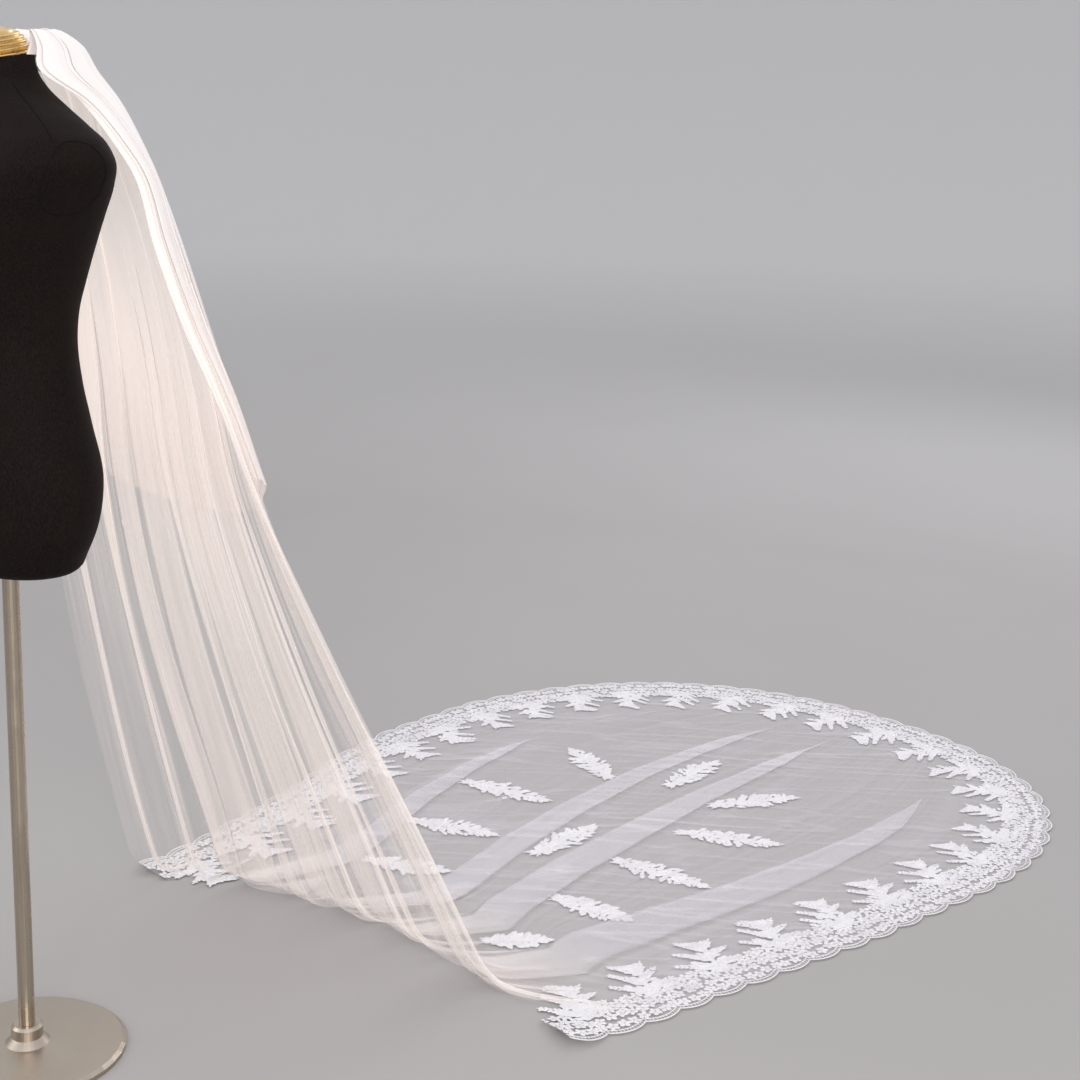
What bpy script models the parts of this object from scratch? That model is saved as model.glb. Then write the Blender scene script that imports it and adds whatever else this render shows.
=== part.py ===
"""Two-tier cathedral bridal veil on a limbless dress form.

Metres, +Z up.  The stand's pole is the Z axis, the floor is Z = 0, the dress form faces -Y
and the veil's train runs out behind it along +Y.  Every cloth piece is a thin wall.
"""

import math

import bmesh
import bpy
from mathutils import Matrix, Vector

# ---- Driving dimensions ------------------------------------------------------------------

GAP = 0.0003  # clearance between neighbouring solids
TULLE_WALL = 0.0018
LACE_WALL = 0.0015

TORSO_BOTTOM = 0.790
NECK_TOP = 1.515
NECK_FOOT = 1.47
NECK_RADIUS = 0.058
NECK_TILT = math.radians(10)  # the neck's top face is lower in front
TORSO_SIDES = 32

RING_HEIGHT = 0.003
CAP_RADIUS = 0.054
CAP_SIDES = 28

POLE_RADIUS = 0.0125
BASE_RADIUS = 0.150
BASE_HEIGHT = 0.012
HUB_RADIUS = 0.024
HUB_HEIGHT = 0.046
TURNED_SIDES = 36

COMB_WIDTH = 0.090
COMB_BACK = 0.066  # how far the comb stands behind the pole's axis
COMB_SPINE_TOP = 1.522
COMB_SPINE_HEIGHT = 0.007
COMB_TOOTH_LENGTH = 0.020
COMB_TEETH = 13
COMB_THICKNESS = 0.003
BAND_HEIGHT = 0.014
BAND_THICKNESS = 0.007
BAND_BACK = COMB_BACK + 0.0005

HANG_COLUMNS = 50
SHOULDER_LEVEL = 1.46  # the hanging tulle only falls below here
TIER_SPACING = 0.011  # short tier outside the long one
SHORT_TIER_WIDER = 0.003
SHORT_TIER_LEVEL = 1.14  # below here its rows bend down to the round hem
SHORT_TIER_HEM_ROWS = 5
SHORT_TIER_CORNER = 0.912  # height of the hem at the tier's free edges
SHORT_TIER_DROP = 0.112  # how much lower the hem is at the centre of the back
HEM_ROUNDNESS = 2.4
LONG_TIER_FOOT = TULLE_WALL + LACE_WALL + 2 * GAP  # the curtain's foot stands on train and lace

TRAIN_START = 0.60
TRAIN_STRAIGHT_ROWS = 12
TRAIN_FRONT_BEND = 0.42  # length over which the rows take up the shape of the front edge
TRAIN_END_RADIUS = 0.70
TRAIN_END_CENTRE = 1.55
TRAIN_END_SQUARENESS = 2.25
TRAIN_END_SIDE = -0.015  # centre of the round end, to the far side
TRAIN_END_LEAN = 0.10  # the round end leans back to the near side
TRAIN_END_ROWS = 11
TRAIN_LAST_ROW_ANGLE = 84

LACE_UNIT = 0.148  # one spray and two scallops of the border
SCALLOPS_PER_UNIT = 2
SCALLOP_DEPTH = 0.012
LACE_BAND = 0.098  # solid part of the border
SPRAY_REACH = 0.085  # how far a spray points inward past the solid part
SPRAY_HALF_SHARE = 0.38  # half the foot of a spray, as a share of its unit
STEPS_PER_UNIT = 8

# Torso: sections from the hem of the form to its neck.
# height, half width, reach to the front, reach to the back, squareness of the section
TORSO_SECTIONS = (
    (0.790, 0.134, 0.080, 0.080, 2.1),
    (0.796, 0.143, 0.088, 0.086, 2.1),
    (0.812, 0.152, 0.096, 0.092, 2.1),
    (0.852, 0.168, 0.108, 0.108, 2.1),
    (0.918, 0.174, 0.114, 0.119, 2.1),
    (1.001, 0.157, 0.108, 0.106, 2.1),
    (1.059, 0.137, 0.098, 0.099, 2.1),
    (1.122, 0.125, 0.092, 0.097, 2.1),
    (1.165, 0.130, 0.096, 0.101, 2.1),
    (1.204, 0.141, 0.108, 0.108, 2.2),
    (1.255, 0.161, 0.130, 0.117, 2.3),
    (1.302, 0.186, 0.130, 0.120, 2.5),
    (1.345, 0.214, 0.114, 0.118, 2.7),
    (1.376, 0.226, 0.098, 0.110, 2.9),
    (1.400, 0.219, 0.085, 0.100, 2.8),
    (1.422, 0.190, 0.074, 0.088, 2.6),
    (1.450, 0.138, 0.064, 0.077, 2.3),
    (1.473, 0.094, 0.058, 0.068, 2.1),
    (1.492, 0.070, 0.057, 0.060, 2.0),
    (1.515, 0.058, 0.058, 0.056, 2.0),
)

# Neck cap: turned profile above its own base.  radius as a share of CAP_RADIUS, height
CAP_PROFILE = (
    (0.80, 0.000),
    (0.97, 0.004),
    (1.00, 0.010),
    (0.95, 0.018),
    (0.84, 0.025),
    (0.66, 0.031),
    (0.42, 0.035),
    (0.17, 0.037),
)

# Hanging tulle, from the comb down to the floor.  Each row is one section of the long tier.
# height, far edge x, y, near edge x, y, bulge behind the chord, roundness, fold depth
HANG_SECTIONS = (
    (1.516, -0.046, 0.0755, 0.046, 0.0755, 0.003, 2.0, 0.0005),
    (1.530, -0.052, 0.0770, 0.052, 0.0770, 0.008, 2.0, 0.0010),
    (1.528, -0.062, 0.0700, 0.060, 0.0710, 0.024, 2.2, 0.0018),
    (1.498, -0.082, 0.0690, 0.080, 0.0710, 0.056, 2.6, 0.0030),
    (1.455, -0.112, 0.0800, 0.108, 0.0820, 0.082, 2.8, 0.0042),
    (1.405, -0.150, 0.1000, 0.144, 0.1010, 0.084, 3.0, 0.0052),
    (1.350, -0.178, 0.1240, 0.168, 0.1250, 0.078, 3.0, 0.0060),
    (1.260, -0.198, 0.1380, 0.180, 0.1440, 0.096, 2.8, 0.0072),
    (1.140, -0.222, 0.1600, 0.190, 0.1840, 0.104, 2.6, 0.0088),
    (1.020, -0.244, 0.1820, 0.200, 0.2360, 0.100, 2.4, 0.0104),
    (0.880, -0.268, 0.2060, 0.206, 0.2920, 0.090, 2.2, 0.0120),
    (0.730, -0.292, 0.2360, 0.232, 0.3500, 0.082, 2.1, 0.0136),
    (0.560, -0.322, 0.2780, 0.268, 0.4160, 0.078, 2.0, 0.0150),
    (0.380, -0.352, 0.3280, 0.306, 0.4920, 0.076, 2.0, 0.0160),
    (0.200, -0.386, 0.3860, 0.346, 0.5660, 0.075, 2.0, 0.0165),
    (0.070, -0.412, 0.4300, 0.374, 0.6200, 0.075, 2.0, 0.0165),
    (LONG_TIER_FOOT, -0.428, 0.4540, 0.390, 0.6460, 0.075, 2.0, 0.0160),
)

# Folds of the hanging tulle, as waves across it.  share of the depth, count, phase
FOLD_WAVES = (
    (0.78, 9.0, 0.00),
    (0.22, 2.7, 0.35),
)
# How far the folds wander sideways.  share of a fold, count, phase
FOLD_DRIFT = (0.16, 1.3, 0.10)

# The short tier rises into a small puff over the comb before it falls; lower down it follows
# the long tier, TIER_SPACING outside it.  Columns as above.
PUFF_SECTIONS = (
    (1.518, -0.046, 0.0700, 0.046, 0.0700, 0.003, 2.0, 0.0005),
    (1.541, -0.049, 0.0705, 0.049, 0.0705, 0.006, 2.0, 0.0010),
    (1.552, -0.053, 0.0660, 0.053, 0.0660, 0.016, 2.0, 0.0014),
    (1.548, -0.065, 0.0640, 0.064, 0.0650, 0.034, 2.2, 0.0020),
    (1.528, -0.080, 0.0630, 0.078, 0.0640, 0.058, 2.4, 0.0026),
)

# Train: how it widens from the foot of the curtain.  y, centre x, half width
TRAIN_WIDTHS = (
    (TRAIN_START, 0.062, 0.500),
    (0.75, 0.055, 0.537),
    (0.92, 0.026, 0.585),
    (1.10, -0.004, 0.640),
    (1.30, -0.016, 0.682),
    (1.55, TRAIN_END_SIDE, TRAIN_END_RADIUS),
)

# Front edge of the train.  place across as a share of the half width, y
TRAIN_FRONT = (
    (-1.00, 0.470),
    (-0.86, 0.446),
    (-0.70, 0.500),
    (-0.52, 0.560),
    (-0.20, 0.592),
    (0.10, 0.622),
    (0.35, 0.655),
    (0.60, 0.640),
    (0.78, 0.600),
    (0.90, 0.592),
    (1.00, 0.630),
)

# Pleats lying flat on the train.
# place across at its start, middle and end as a share of the half width, first y, last y,
# half width, height
PLEATS = (
    (-0.49, -0.57, -0.63, 0.84, 1.52, 0.024, 0.0030),
    (-0.01, -0.14, -0.29, 0.74, 2.00, 0.026, 0.0032),
    (0.21, 0.13, -0.05, 0.74, 2.00, 0.030, 0.0034),
    (0.51, 0.71, 0.51, 0.74, 1.90, 0.032, 0.0036),
)
PLEAT_SHARPNESS = 0.55  # share of a pleat's width that its raised layer takes
PLEAT_FADE = 0.18  # share of a pleat's length over which it rises from the cloth
PLEAT_TAPER = 0.35
PLEAT_WIDEST_SHARE = 0.07  # of the train's half width
COLUMNS_BETWEEN_PLEATS = (3, 4, 2, 3, 4)

# Lace sprays sewn on the train.  name, centre x, y, length, width, angle in degrees
MOTIFS = (
    ("spray_a", -0.252, 1.512, 0.200, 0.082, 162),
    ("spray_b", -0.060, 1.640, 0.205, 0.082, 97),
    ("spray_c", -0.262, 1.262, 0.215, 0.080, 16),
    ("spray_d", 0.126, 1.618, 0.205, 0.080, 62),
    ("spray_e", -0.196, 1.052, 0.200, 0.078, 25),
    ("spray_f", 0.000, 1.178, 0.200, 0.076, 94),
    ("spray_g", 0.214, 1.432, 0.215, 0.080, 30),
    ("spray_h", 0.232, 1.208, 0.215, 0.080, 12),
    ("spray_i", 0.246, 1.002, 0.172, 0.074, 14),
    ("spray_j", -0.120, 0.866, 0.180, 0.076, 28),
    ("spray_k", 0.247, 0.812, 0.120, 0.062, 48),
)
# Outline of one spray, as shares of its length and width: along, half breadth
SPRAY_OUTLINE = (
    (-0.50, 0.05),
    (-0.40, 0.22),
    (-0.27, 0.40),
    (-0.08, 0.50),
    (0.12, 0.46),
    (0.30, 0.30),
    (0.42, 0.20),
    (0.50, 0.06),
)


# ---- Small helpers -----------------------------------------------------------------------


def clear_scene():
    for old in list(bpy.data.objects):
        bpy.data.objects.remove(old, do_unlink=True)


def material(name, colour, roughness, metallic=0.0):
    made = bpy.data.materials.new(name)
    made.use_nodes = True
    shader = made.node_tree.nodes["Principled BSDF"]
    shader.inputs["Base Color"].default_value = (*colour, 1.0)
    shader.inputs["Roughness"].default_value = roughness
    shader.inputs["Metallic"].default_value = metallic
    return made


def tulle():
    return material("tulle_ivory", (0.86, 0.78, 0.72), 0.8)


def lace():
    return material("lace_white", (0.90, 0.89, 0.90), 0.75)


def jersey():
    return material("jersey_black", (0.010, 0.009, 0.009), 0.85)


def gold():
    return material("gold_turned", (0.72, 0.50, 0.22), 0.3, 0.9)


def pole_metal():
    return material("pole_metal", (0.42, 0.36, 0.29), 0.3, 1.0)


def add_object(name, mesh_data, finish, smooth_angle=40):
    """Turns a bmesh into a named object with outward faces and one material."""
    bmesh.ops.recalc_face_normals(mesh_data, faces=mesh_data.faces)
    mesh = bpy.data.meshes.new(name)
    mesh_data.to_mesh(mesh)
    mesh_data.free()
    mesh.shade_smooth()
    mesh.set_sharp_from_angle(angle=math.radians(smooth_angle))
    mesh.materials.append(finish)
    made = bpy.data.objects.new(name, mesh)
    bpy.context.collection.objects.link(made)
    return made


def interpolate(rows, place):
    """Linear reading of a table whose first column is the place."""
    for low, high in zip(rows, rows[1:]):
        if place <= high[0]:
            share = max(0.0, (place - low[0]) / (high[0] - low[0]))
            return [a + share * (b - a) for a, b in zip(low[1:], high[1:])]
    return list(rows[-1][1:])


def ease(share):
    share = min(1.0, max(0.0, share))
    return share * share * (3 - 2 * share)


def bridge_rings(mesh_data, rings, closed_around=True):
    """Quads between successive rings of vertices."""
    for lower, upper in zip(rings, rings[1:]):
        count = len(lower)
        for index in range(count if closed_around else count - 1):
            following = (index + 1) % count
            mesh_data.faces.new((lower[index], lower[following], upper[following], upper[index]))


def turned(name, profile, sides, finish, smooth_angle=40):
    """Solid of revolution about Z from (radius, height) pairs, with flat ends."""
    mesh_data = bmesh.new()
    rings = []
    for radius, height in profile:
        ring = []
        for side in range(sides):
            angle = math.tau * side / sides
            point = (radius * math.cos(angle), radius * math.sin(angle), height)
            ring.append(mesh_data.verts.new(point))
        rings.append(ring)
    bridge_rings(mesh_data, rings)
    mesh_data.faces.new(rings[0])
    mesh_data.faces.new(rings[-1])
    return add_object(name, mesh_data, finish, smooth_angle)


# ---- Dress form --------------------------------------------------------------------------


def torso_ring(height, half_width, front, back, squareness):
    """One section of the torso as a super-ellipse; near the neck it leans with the neck's top."""
    ring = []
    lean = ease((height - NECK_FOOT) / (NECK_TOP - NECK_FOOT)) * math.tan(NECK_TILT)
    for side in range(TORSO_SIDES):
        angle = math.tau * side / TORSO_SIDES
        across, along = math.cos(angle), math.sin(angle)
        power = 2.0 / squareness
        x = half_width * math.copysign(abs(across) ** power, across)
        reach = back if along > 0 else front
        y = reach * math.copysign(abs(along) ** power, along)
        ring.append((x, y, height + lean * y))
    return ring


def build_torso(finish):
    mesh_data = bmesh.new()
    rings = []
    for row in TORSO_SECTIONS:
        rings.append([mesh_data.verts.new(point) for point in torso_ring(*row)])
    bridge_rings(mesh_data, rings)
    mesh_data.faces.new(rings[0])
    mesh_data.faces.new(rings[-1])
    return add_object("dress_form_torso", mesh_data, finish, 60)


def build_neck_pieces(finish):
    """The flat ring and the turned cap, both lying on the tilted top of the neck."""
    neck_axis = bpy.data.objects.new("neck_axis", None)
    bpy.context.collection.objects.link(neck_axis)
    neck_axis.location = (0.0, 0.0, NECK_TOP)
    neck_axis.rotation_euler = (NECK_TILT, 0.0, 0.0)

    ring_low, ring_high = GAP, GAP + RING_HEIGHT
    ring_profile = ((NECK_RADIUS, ring_low), (NECK_RADIUS + 0.001, (ring_low + ring_high) / 2))
    ring_profile += ((NECK_RADIUS, ring_high),)
    ring = turned("neck_ring", ring_profile, CAP_SIDES, finish)
    ring.parent = neck_axis

    cap_base = ring_high + GAP
    cap_profile = [(share * CAP_RADIUS, cap_base + height) for share, height in CAP_PROFILE]
    cap = turned("neck_cap", cap_profile, CAP_SIDES, finish)
    cap.parent = neck_axis


def build_stand(finish):
    base_profile = (
        (BASE_RADIUS, 0.0),
        (BASE_RADIUS, BASE_HEIGHT * 0.6),
        (BASE_RADIUS - 0.006, BASE_HEIGHT),
        (HUB_RADIUS + 0.010, BASE_HEIGHT + 0.004),
        (HUB_RADIUS, BASE_HEIGHT + 0.014),
        (HUB_RADIUS, HUB_HEIGHT - 0.004),
        (HUB_RADIUS - 0.004, HUB_HEIGHT),
    )
    turned("stand_base", base_profile, TURNED_SIDES, finish, 30)
    pole_profile = ((POLE_RADIUS, HUB_HEIGHT + GAP), (POLE_RADIUS, TORSO_BOTTOM - GAP))
    turned("stand_pole", pole_profile, 20, finish, 30)


# ---- Comb and gathering band -------------------------------------------------------------


def add_box(mesh_data, low, high):
    made = bmesh.ops.create_cube(mesh_data, size=1.0)["verts"]
    size = Vector(high) - Vector(low)
    centre = (Vector(high) + Vector(low)) / 2
    bmesh.ops.scale(mesh_data, verts=made, vec=size)
    bmesh.ops.translate(mesh_data, verts=made, vec=centre)


def build_comb(finish):
    """A flat comb, its spine up and its teeth down behind the neck, from one outline."""
    teeth_bottom = COMB_SPINE_TOP - COMB_SPINE_HEIGHT - COMB_TOOTH_LENGTH
    root = COMB_SPINE_TOP - COMB_SPINE_HEIGHT
    pitch = COMB_WIDTH / (2 * COMB_TEETH - 1)
    left = -COMB_WIDTH / 2
    outline = [(left, COMB_SPINE_TOP)]
    for tooth in range(COMB_TEETH):
        start = left + 2 * tooth * pitch
        outline += [(start, root), (start, teeth_bottom)] if tooth else [(start, teeth_bottom)]
        outline += [(start + pitch, teeth_bottom)]
        if tooth < COMB_TEETH - 1:
            outline += [(start + pitch, root)]
    outline += [(-left, COMB_SPINE_TOP)]
    mesh_data = bmesh.new()
    front = [mesh_data.verts.new((x, COMB_BACK - COMB_THICKNESS, z)) for x, z in outline]
    back = [mesh_data.verts.new((x, COMB_BACK, z)) for x, z in outline]
    bridge_rings(mesh_data, [front, back])
    mesh_data.faces.new(front)
    mesh_data.faces.new(back)
    return add_object("comb", mesh_data, finish, 30)


def build_gathering_band(finish):
    """The stitched band over the gathers, on the comb's spine and under the puff."""
    width = COMB_WIDTH + 0.004
    bottom = COMB_SPINE_TOP + GAP
    mesh_data = bmesh.new()
    add_box(
        mesh_data,
        (-width / 2, BAND_BACK - BAND_THICKNESS, bottom),
        (width / 2, BAND_BACK, bottom + BAND_HEIGHT),
    )
    bmesh.ops.bevel(mesh_data, geom=mesh_data.edges[:], offset=0.002, segments=1, affect="EDGES")
    return add_object("gathering_band", mesh_data, finish)


# ---- Hanging tulle -----------------------------------------------------------------------


def fold_wave(across):
    """Depth of the large folds at a place across the cloth, between about -1 and 1."""
    reach, drift_count, drift_phase = FOLD_DRIFT
    drift = reach * math.sin(math.tau * (drift_count * across + drift_phase))
    depth = 0.0
    for share, count, phase in FOLD_WAVES:
        depth += share * math.sin(math.tau * (count * across + phase + drift))
    return depth


def hang_point(section, across, outward=0.0, widen=0.0):
    """A point of the cloth: across runs from 0 at the far edge to 1 at the near edge."""
    height, far_x, far_y, near_x, near_y, bulge, roundness, fold_depth = section
    far, near = Vector((far_x, far_y)), Vector((near_x, near_y))
    chord = near - far
    behind = Vector((-chord.y, chord.x)).normalized()
    arch = 1.0 - abs(2 * across - 1) ** roundness
    # where the section turns forward at its edges, folds and layers stack sideways as well
    slope = -2 * roundness * abs(2 * across - 1) ** (roundness - 1)
    slope *= math.copysign(1.0, 2 * across - 1) * bulge / chord.length
    direction = (behind - chord.normalized() * slope).normalized()
    place = far + chord * across + behind * bulge * arch
    place += direction * (fold_depth * fold_wave(across) + outward)
    place += chord.normalized() * widen * (2 * across - 1)
    return place.x, place.y, height


def tulle_wall(name, rows, finish):
    """A wall of tulle through rows of points; Solidify gives it its thickness outward."""
    mesh_data = bmesh.new()
    placed = [[mesh_data.verts.new(point) for point in row] for row in rows]
    for upper, lower in zip(placed, placed[1:]):
        for index in range(len(upper) - 1):
            corners = (upper[index], upper[index + 1], lower[index + 1], lower[index])
            mesh_data.faces.new(corners)
    mesh = bpy.data.meshes.new(name)
    mesh_data.to_mesh(mesh)
    mesh_data.free()
    mesh.shade_smooth()
    mesh.materials.append(finish)
    made = bpy.data.objects.new(name, mesh)
    bpy.context.collection.objects.link(made)
    wall = made.modifiers.new("wall", "SOLIDIFY")
    wall.thickness = TULLE_WALL
    wall.offset = 1.0
    return made


def places_across():
    return [column / (HANG_COLUMNS - 1) for column in range(HANG_COLUMNS)]


def section_at(height):
    """The long tier's section at one height below the shoulders."""
    falling = [row for row in HANG_SECTIONS if row[0] < SHOULDER_LEVEL]
    for high, low in zip(falling, falling[1:]):
        if height >= low[0]:
            share = (high[0] - height) / (high[0] - low[0])
            return tuple(a + share * (b - a) for a, b in zip(high, low))
    return falling[-1]


def hem_height(across):
    """The short tier's cut hem: round, lowest at the centre of the back."""
    return SHORT_TIER_CORNER - SHORT_TIER_DROP * (1.0 - abs(2 * across - 1) ** HEM_ROUNDNESS)


def build_long_tier_hang(finish):
    rows = []
    for section in HANG_SECTIONS:
        rows.append([hang_point(section, across) for across in places_across()])
    tulle_wall("long_tier_hang", rows, finish)


def build_short_tier(finish):
    """The outer tier: a puff over the comb, then TIER_SPACING outside the long tier."""
    rows = []
    for section in PUFF_SECTIONS:
        rows.append([hang_point(section, across) for across in places_across()])
    spaced = [row for row in HANG_SECTIONS[3:] if row[0] >= SHORT_TIER_LEVEL]
    for section in spaced:
        row = []
        for across in places_across():
            row.append(hang_point(section, across, TIER_SPACING, SHORT_TIER_WIDER))
        rows.append(row)
    for level in range(1, SHORT_TIER_HEM_ROWS + 1):
        row = []
        for across in places_across():
            drop = (SHORT_TIER_LEVEL - hem_height(across)) * level / SHORT_TIER_HEM_ROWS
            section = section_at(SHORT_TIER_LEVEL - drop)
            row.append(hang_point(section, across, TIER_SPACING, SHORT_TIER_WIDER))
        rows.append(row)
    tulle_wall("short_tier", rows, finish)


# ---- Train -------------------------------------------------------------------------------


def train_half_width(y):
    """Centre and half width of the train at a distance behind the stand."""
    if y <= TRAIN_END_CENTRE:
        return interpolate(TRAIN_WIDTHS, y)
    beyond = y - TRAIN_END_CENTRE
    share = min(1.0, beyond / TRAIN_END_RADIUS)
    power = TRAIN_END_SQUARENESS
    centre = TRAIN_END_SIDE + TRAIN_END_LEAN * beyond
    return [centre, TRAIN_END_RADIUS * (1.0 - share**power) ** (1.0 / power)]


def round_end(angle):
    """A point of the train's round end; the angle runs from the near side to the far one."""
    power = 2.0 / TRAIN_END_SQUARENESS
    across = math.copysign(abs(math.cos(angle)) ** power, math.cos(angle))
    along = abs(math.sin(angle)) ** power
    turn = Vector((across + TRAIN_END_LEAN * along, along)) * TRAIN_END_RADIUS
    return Vector((TRAIN_END_SIDE, TRAIN_END_CENTRE)) + turn


def train_rows():
    """Distances of the rows: even up to the round end, then by angle round it."""
    pitch = (TRAIN_END_CENTRE - TRAIN_START) / TRAIN_STRAIGHT_ROWS
    rows = [TRAIN_START + pitch * index for index in range(TRAIN_STRAIGHT_ROWS)]
    for index in range(1, TRAIN_END_ROWS + 1):
        rows.append(round_end(math.radians(TRAIN_LAST_ROW_ANGLE) * index / TRAIN_END_ROWS).y)
    return rows


def pleat_state(pleat, y):
    """Place across, half width and height of a pleat at one distance."""
    start, middle, end, first, last, half_width, height = pleat
    along = (y - first) / (last - first)
    inside = min(1.0, max(0.0, along))
    blend = (1 - inside) ** 2 * start + 2 * inside * (1 - inside) * middle + inside**2 * end
    fade = ease(min(along, 1 - along) / PLEAT_FADE) if 0 < along < 1 else 0.0
    return blend, half_width * (1 - PLEAT_TAPER * inside), height * fade


def train_columns(y):
    """(place across, height) of every column: pleat edges, with plain columns between."""
    half_width = train_half_width(y)[1]
    anchors = [(-1.0, 0.0)]
    columns = []
    for pleat in PLEATS:
        place, pleat_half, height = pleat_state(pleat, y)
        reach = min(pleat_half / half_width, PLEAT_WIDEST_SHARE)
        raised = reach * PLEAT_SHARPNESS
        anchors.append((place - reach, 0.0))
        anchors.append((place - raised, height))
        anchors.append((place + raised, height))
        anchors.append((place + reach, 0.0))
    anchors.append((1.0, 0.0))
    for stretch, count in enumerate(COLUMNS_BETWEEN_PLEATS):
        low, high = anchors[4 * stretch], anchors[4 * stretch + 1]
        for step in range(count):
            columns.append((low[0] + (high[0] - low[0]) * step / count, low[1]))
        if stretch < len(PLEATS):
            columns += anchors[4 * stretch + 1 : 4 * stretch + 4]
    columns.append(anchors[-1])
    return columns


def train_point(y, place):
    """Plan position: rows near the front bend to follow the front edge."""
    centre, half_width = train_half_width(y)
    front_y = interpolate(TRAIN_FRONT, place)[0]
    bend = (front_y - TRAIN_START) * (1 - ease((y - TRAIN_START) / TRAIN_FRONT_BEND))
    return centre + place * half_width, y + bend


def build_train(finish):
    """The tulle on the floor: flat underneath, pleats raised on top."""
    mesh_data = bmesh.new()
    top, edge = [], []
    for y in train_rows():
        row = []
        for place, height in train_columns(y):
            x, bent_y = train_point(y, place)
            row.append(mesh_data.verts.new((x, bent_y, TULLE_WALL + height)))
        top.append(row)
    for near, far in zip(top, top[1:]):
        for index in range(len(near) - 1):
            corners = (near[index], near[index + 1], far[index + 1], far[index])
            mesh_data.faces.new(corners)
    edge += top[0]
    edge += [row[-1] for row in top[1:]]
    edge += list(reversed(top[-1][:-1]))
    edge += [row[0] for row in reversed(top[1:-1])]
    floor = [mesh_data.verts.new((corner.co.x, corner.co.y, 0.0)) for corner in edge]
    bridge_rings(mesh_data, [edge, floor])
    mesh_data.faces.new(floor)
    return add_object("long_tier_train", mesh_data, finish, 50)


# ---- Lace --------------------------------------------------------------------------------


def train_outline():
    """Points of the train's edge, from the far front corner round the end to the near one."""
    left, right = [], []
    for y in train_rows():
        left.append(Vector(train_point(y, -1.0)))
        right.append(Vector(train_point(y, 1.0)))
    end = [round_end(math.radians(90 + turn)) for turn in (3, 0, -3)]
    return left + end + list(reversed(right))


def outline_lengths(points):
    total = [0.0]
    for first, second in zip(points, points[1:]):
        total.append(total[-1] + (second - first).length)
    return total


def outline_place(points, lengths, distance):
    """Point and inward direction at a distance along the train's edge."""
    for index in range(len(points) - 1):
        if distance <= lengths[index + 1] or index == len(points) - 2:
            span = lengths[index + 1] - lengths[index]
            share = (distance - lengths[index]) / span
            ahead = smooth_direction(points, index, share)
            return points[index].lerp(points[index + 1], share), Vector((ahead.y, -ahead.x))
    return None


def smooth_direction(points, index, share):
    """Direction along the edge, blended between its corners so that strips don't kink."""
    before = points[index + 1] - points[max(index - 1, 0)]
    after = points[min(index + 2, len(points) - 1)] - points[index]
    return before.normalized().lerp(after.normalized(), share).normalized()


def border_offsets(step):
    """Outer and inner reach of the border at a step along it."""
    within = (step % STEPS_PER_UNIT) / STEPS_PER_UNIT
    scallop = abs(math.sin(math.pi * SCALLOPS_PER_UNIT * within))
    outer = SCALLOP_DEPTH * scallop
    spray = max(0.0, 1.0 - abs(within - 0.5) / SPRAY_HALF_SHARE)
    return outer, LACE_BAND + SPRAY_REACH * spray


def build_border(finish):
    """The scalloped lace border, in five lengths along the train's edge."""
    points = train_outline()
    lengths = outline_lengths(points)
    names = ("border_far_corner", "border_far_side", "border_end", "border_near_side")
    names += ("border_near_corner",)
    units = round(lengths[-1] / LACE_UNIT)
    pitch = lengths[-1] / (units * STEPS_PER_UNIT)
    starts = [round(units * index / len(names)) for index in range(len(names) + 1)]
    low, high = TULLE_WALL + GAP, TULLE_WALL + GAP + LACE_WALL
    for name, first, last in zip(names, starts, starts[1:]):
        mesh_data = bmesh.new()
        rings = []
        final = last * STEPS_PER_UNIT
        for step in range(first * STEPS_PER_UNIT, final + 1):
            distance = step * pitch
            trimmed = distance + (GAP if step == first * STEPS_PER_UNIT else 0.0)
            place, inward = outline_place(points, lengths, min(trimmed, lengths[-1]))
            outer, inner = border_offsets(step)
            outside, inside = place - inward * outer, place + inward * inner
            corners = ((outside, low), (inside, low), (inside, high), (outside, high))
            rings.append([mesh_data.verts.new((p.x, p.y, z)) for p, z in corners])
        bridge_rings(mesh_data, rings)
        mesh_data.faces.new(rings[0])
        mesh_data.faces.new(rings[-1])
        add_object(name, mesh_data, finish, 30)


def build_motif(row, finish):
    """One leaf-shaped lace spray lying on the train."""
    name, centre_x, centre_y, length, width, degrees = row
    right = [(along * length, -half * width) for along, half in SPRAY_OUTLINE]
    left = [(along * length, half * width) for along, half in reversed(SPRAY_OUTLINE)]
    turn = Matrix.Rotation(math.radians(degrees), 2)
    outline = [turn @ Vector(corner) + Vector((centre_x, centre_y)) for corner in right + left]
    mesh_data = bmesh.new()
    low, high = TULLE_WALL + GAP, TULLE_WALL + GAP + LACE_WALL
    lower = [mesh_data.verts.new((p.x, p.y, low)) for p in outline]
    upper = [mesh_data.verts.new((p.x, p.y, high)) for p in outline]
    bridge_rings(mesh_data, [lower, upper])
    mesh_data.faces.new(lower)
    mesh_data.faces.new(upper)
    return add_object(name, mesh_data, finish, 30)


# ---- Assembly ----------------------------------------------------------------------------


def main():
    clear_scene()
    build_torso(jersey())
    gilt = gold()
    build_neck_pieces(gilt)
    build_stand(pole_metal())
    white_lace = lace()
    ivory = tulle()
    build_comb(material("comb_clear", (0.85, 0.84, 0.82), 0.3))
    build_gathering_band(ivory)
    build_long_tier_hang(ivory)
    build_short_tier(ivory)
    build_train(ivory)
    build_border(white_lace)
    for row in MOTIFS:
        build_motif(row, white_lace)


main()
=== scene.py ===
"""Looks of a two-tier cathedral veil hanging from the neck of a limbless dress form.

Metres, +Z up, in the row frame: the stand's pole is the Z axis, the floor is Z = 0, the dress
form faces -Y and the veil's train runs out behind it along +Y.
"""

import math
import random

import bpy
import numpy as np
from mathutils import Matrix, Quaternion, Vector, noise


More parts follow.
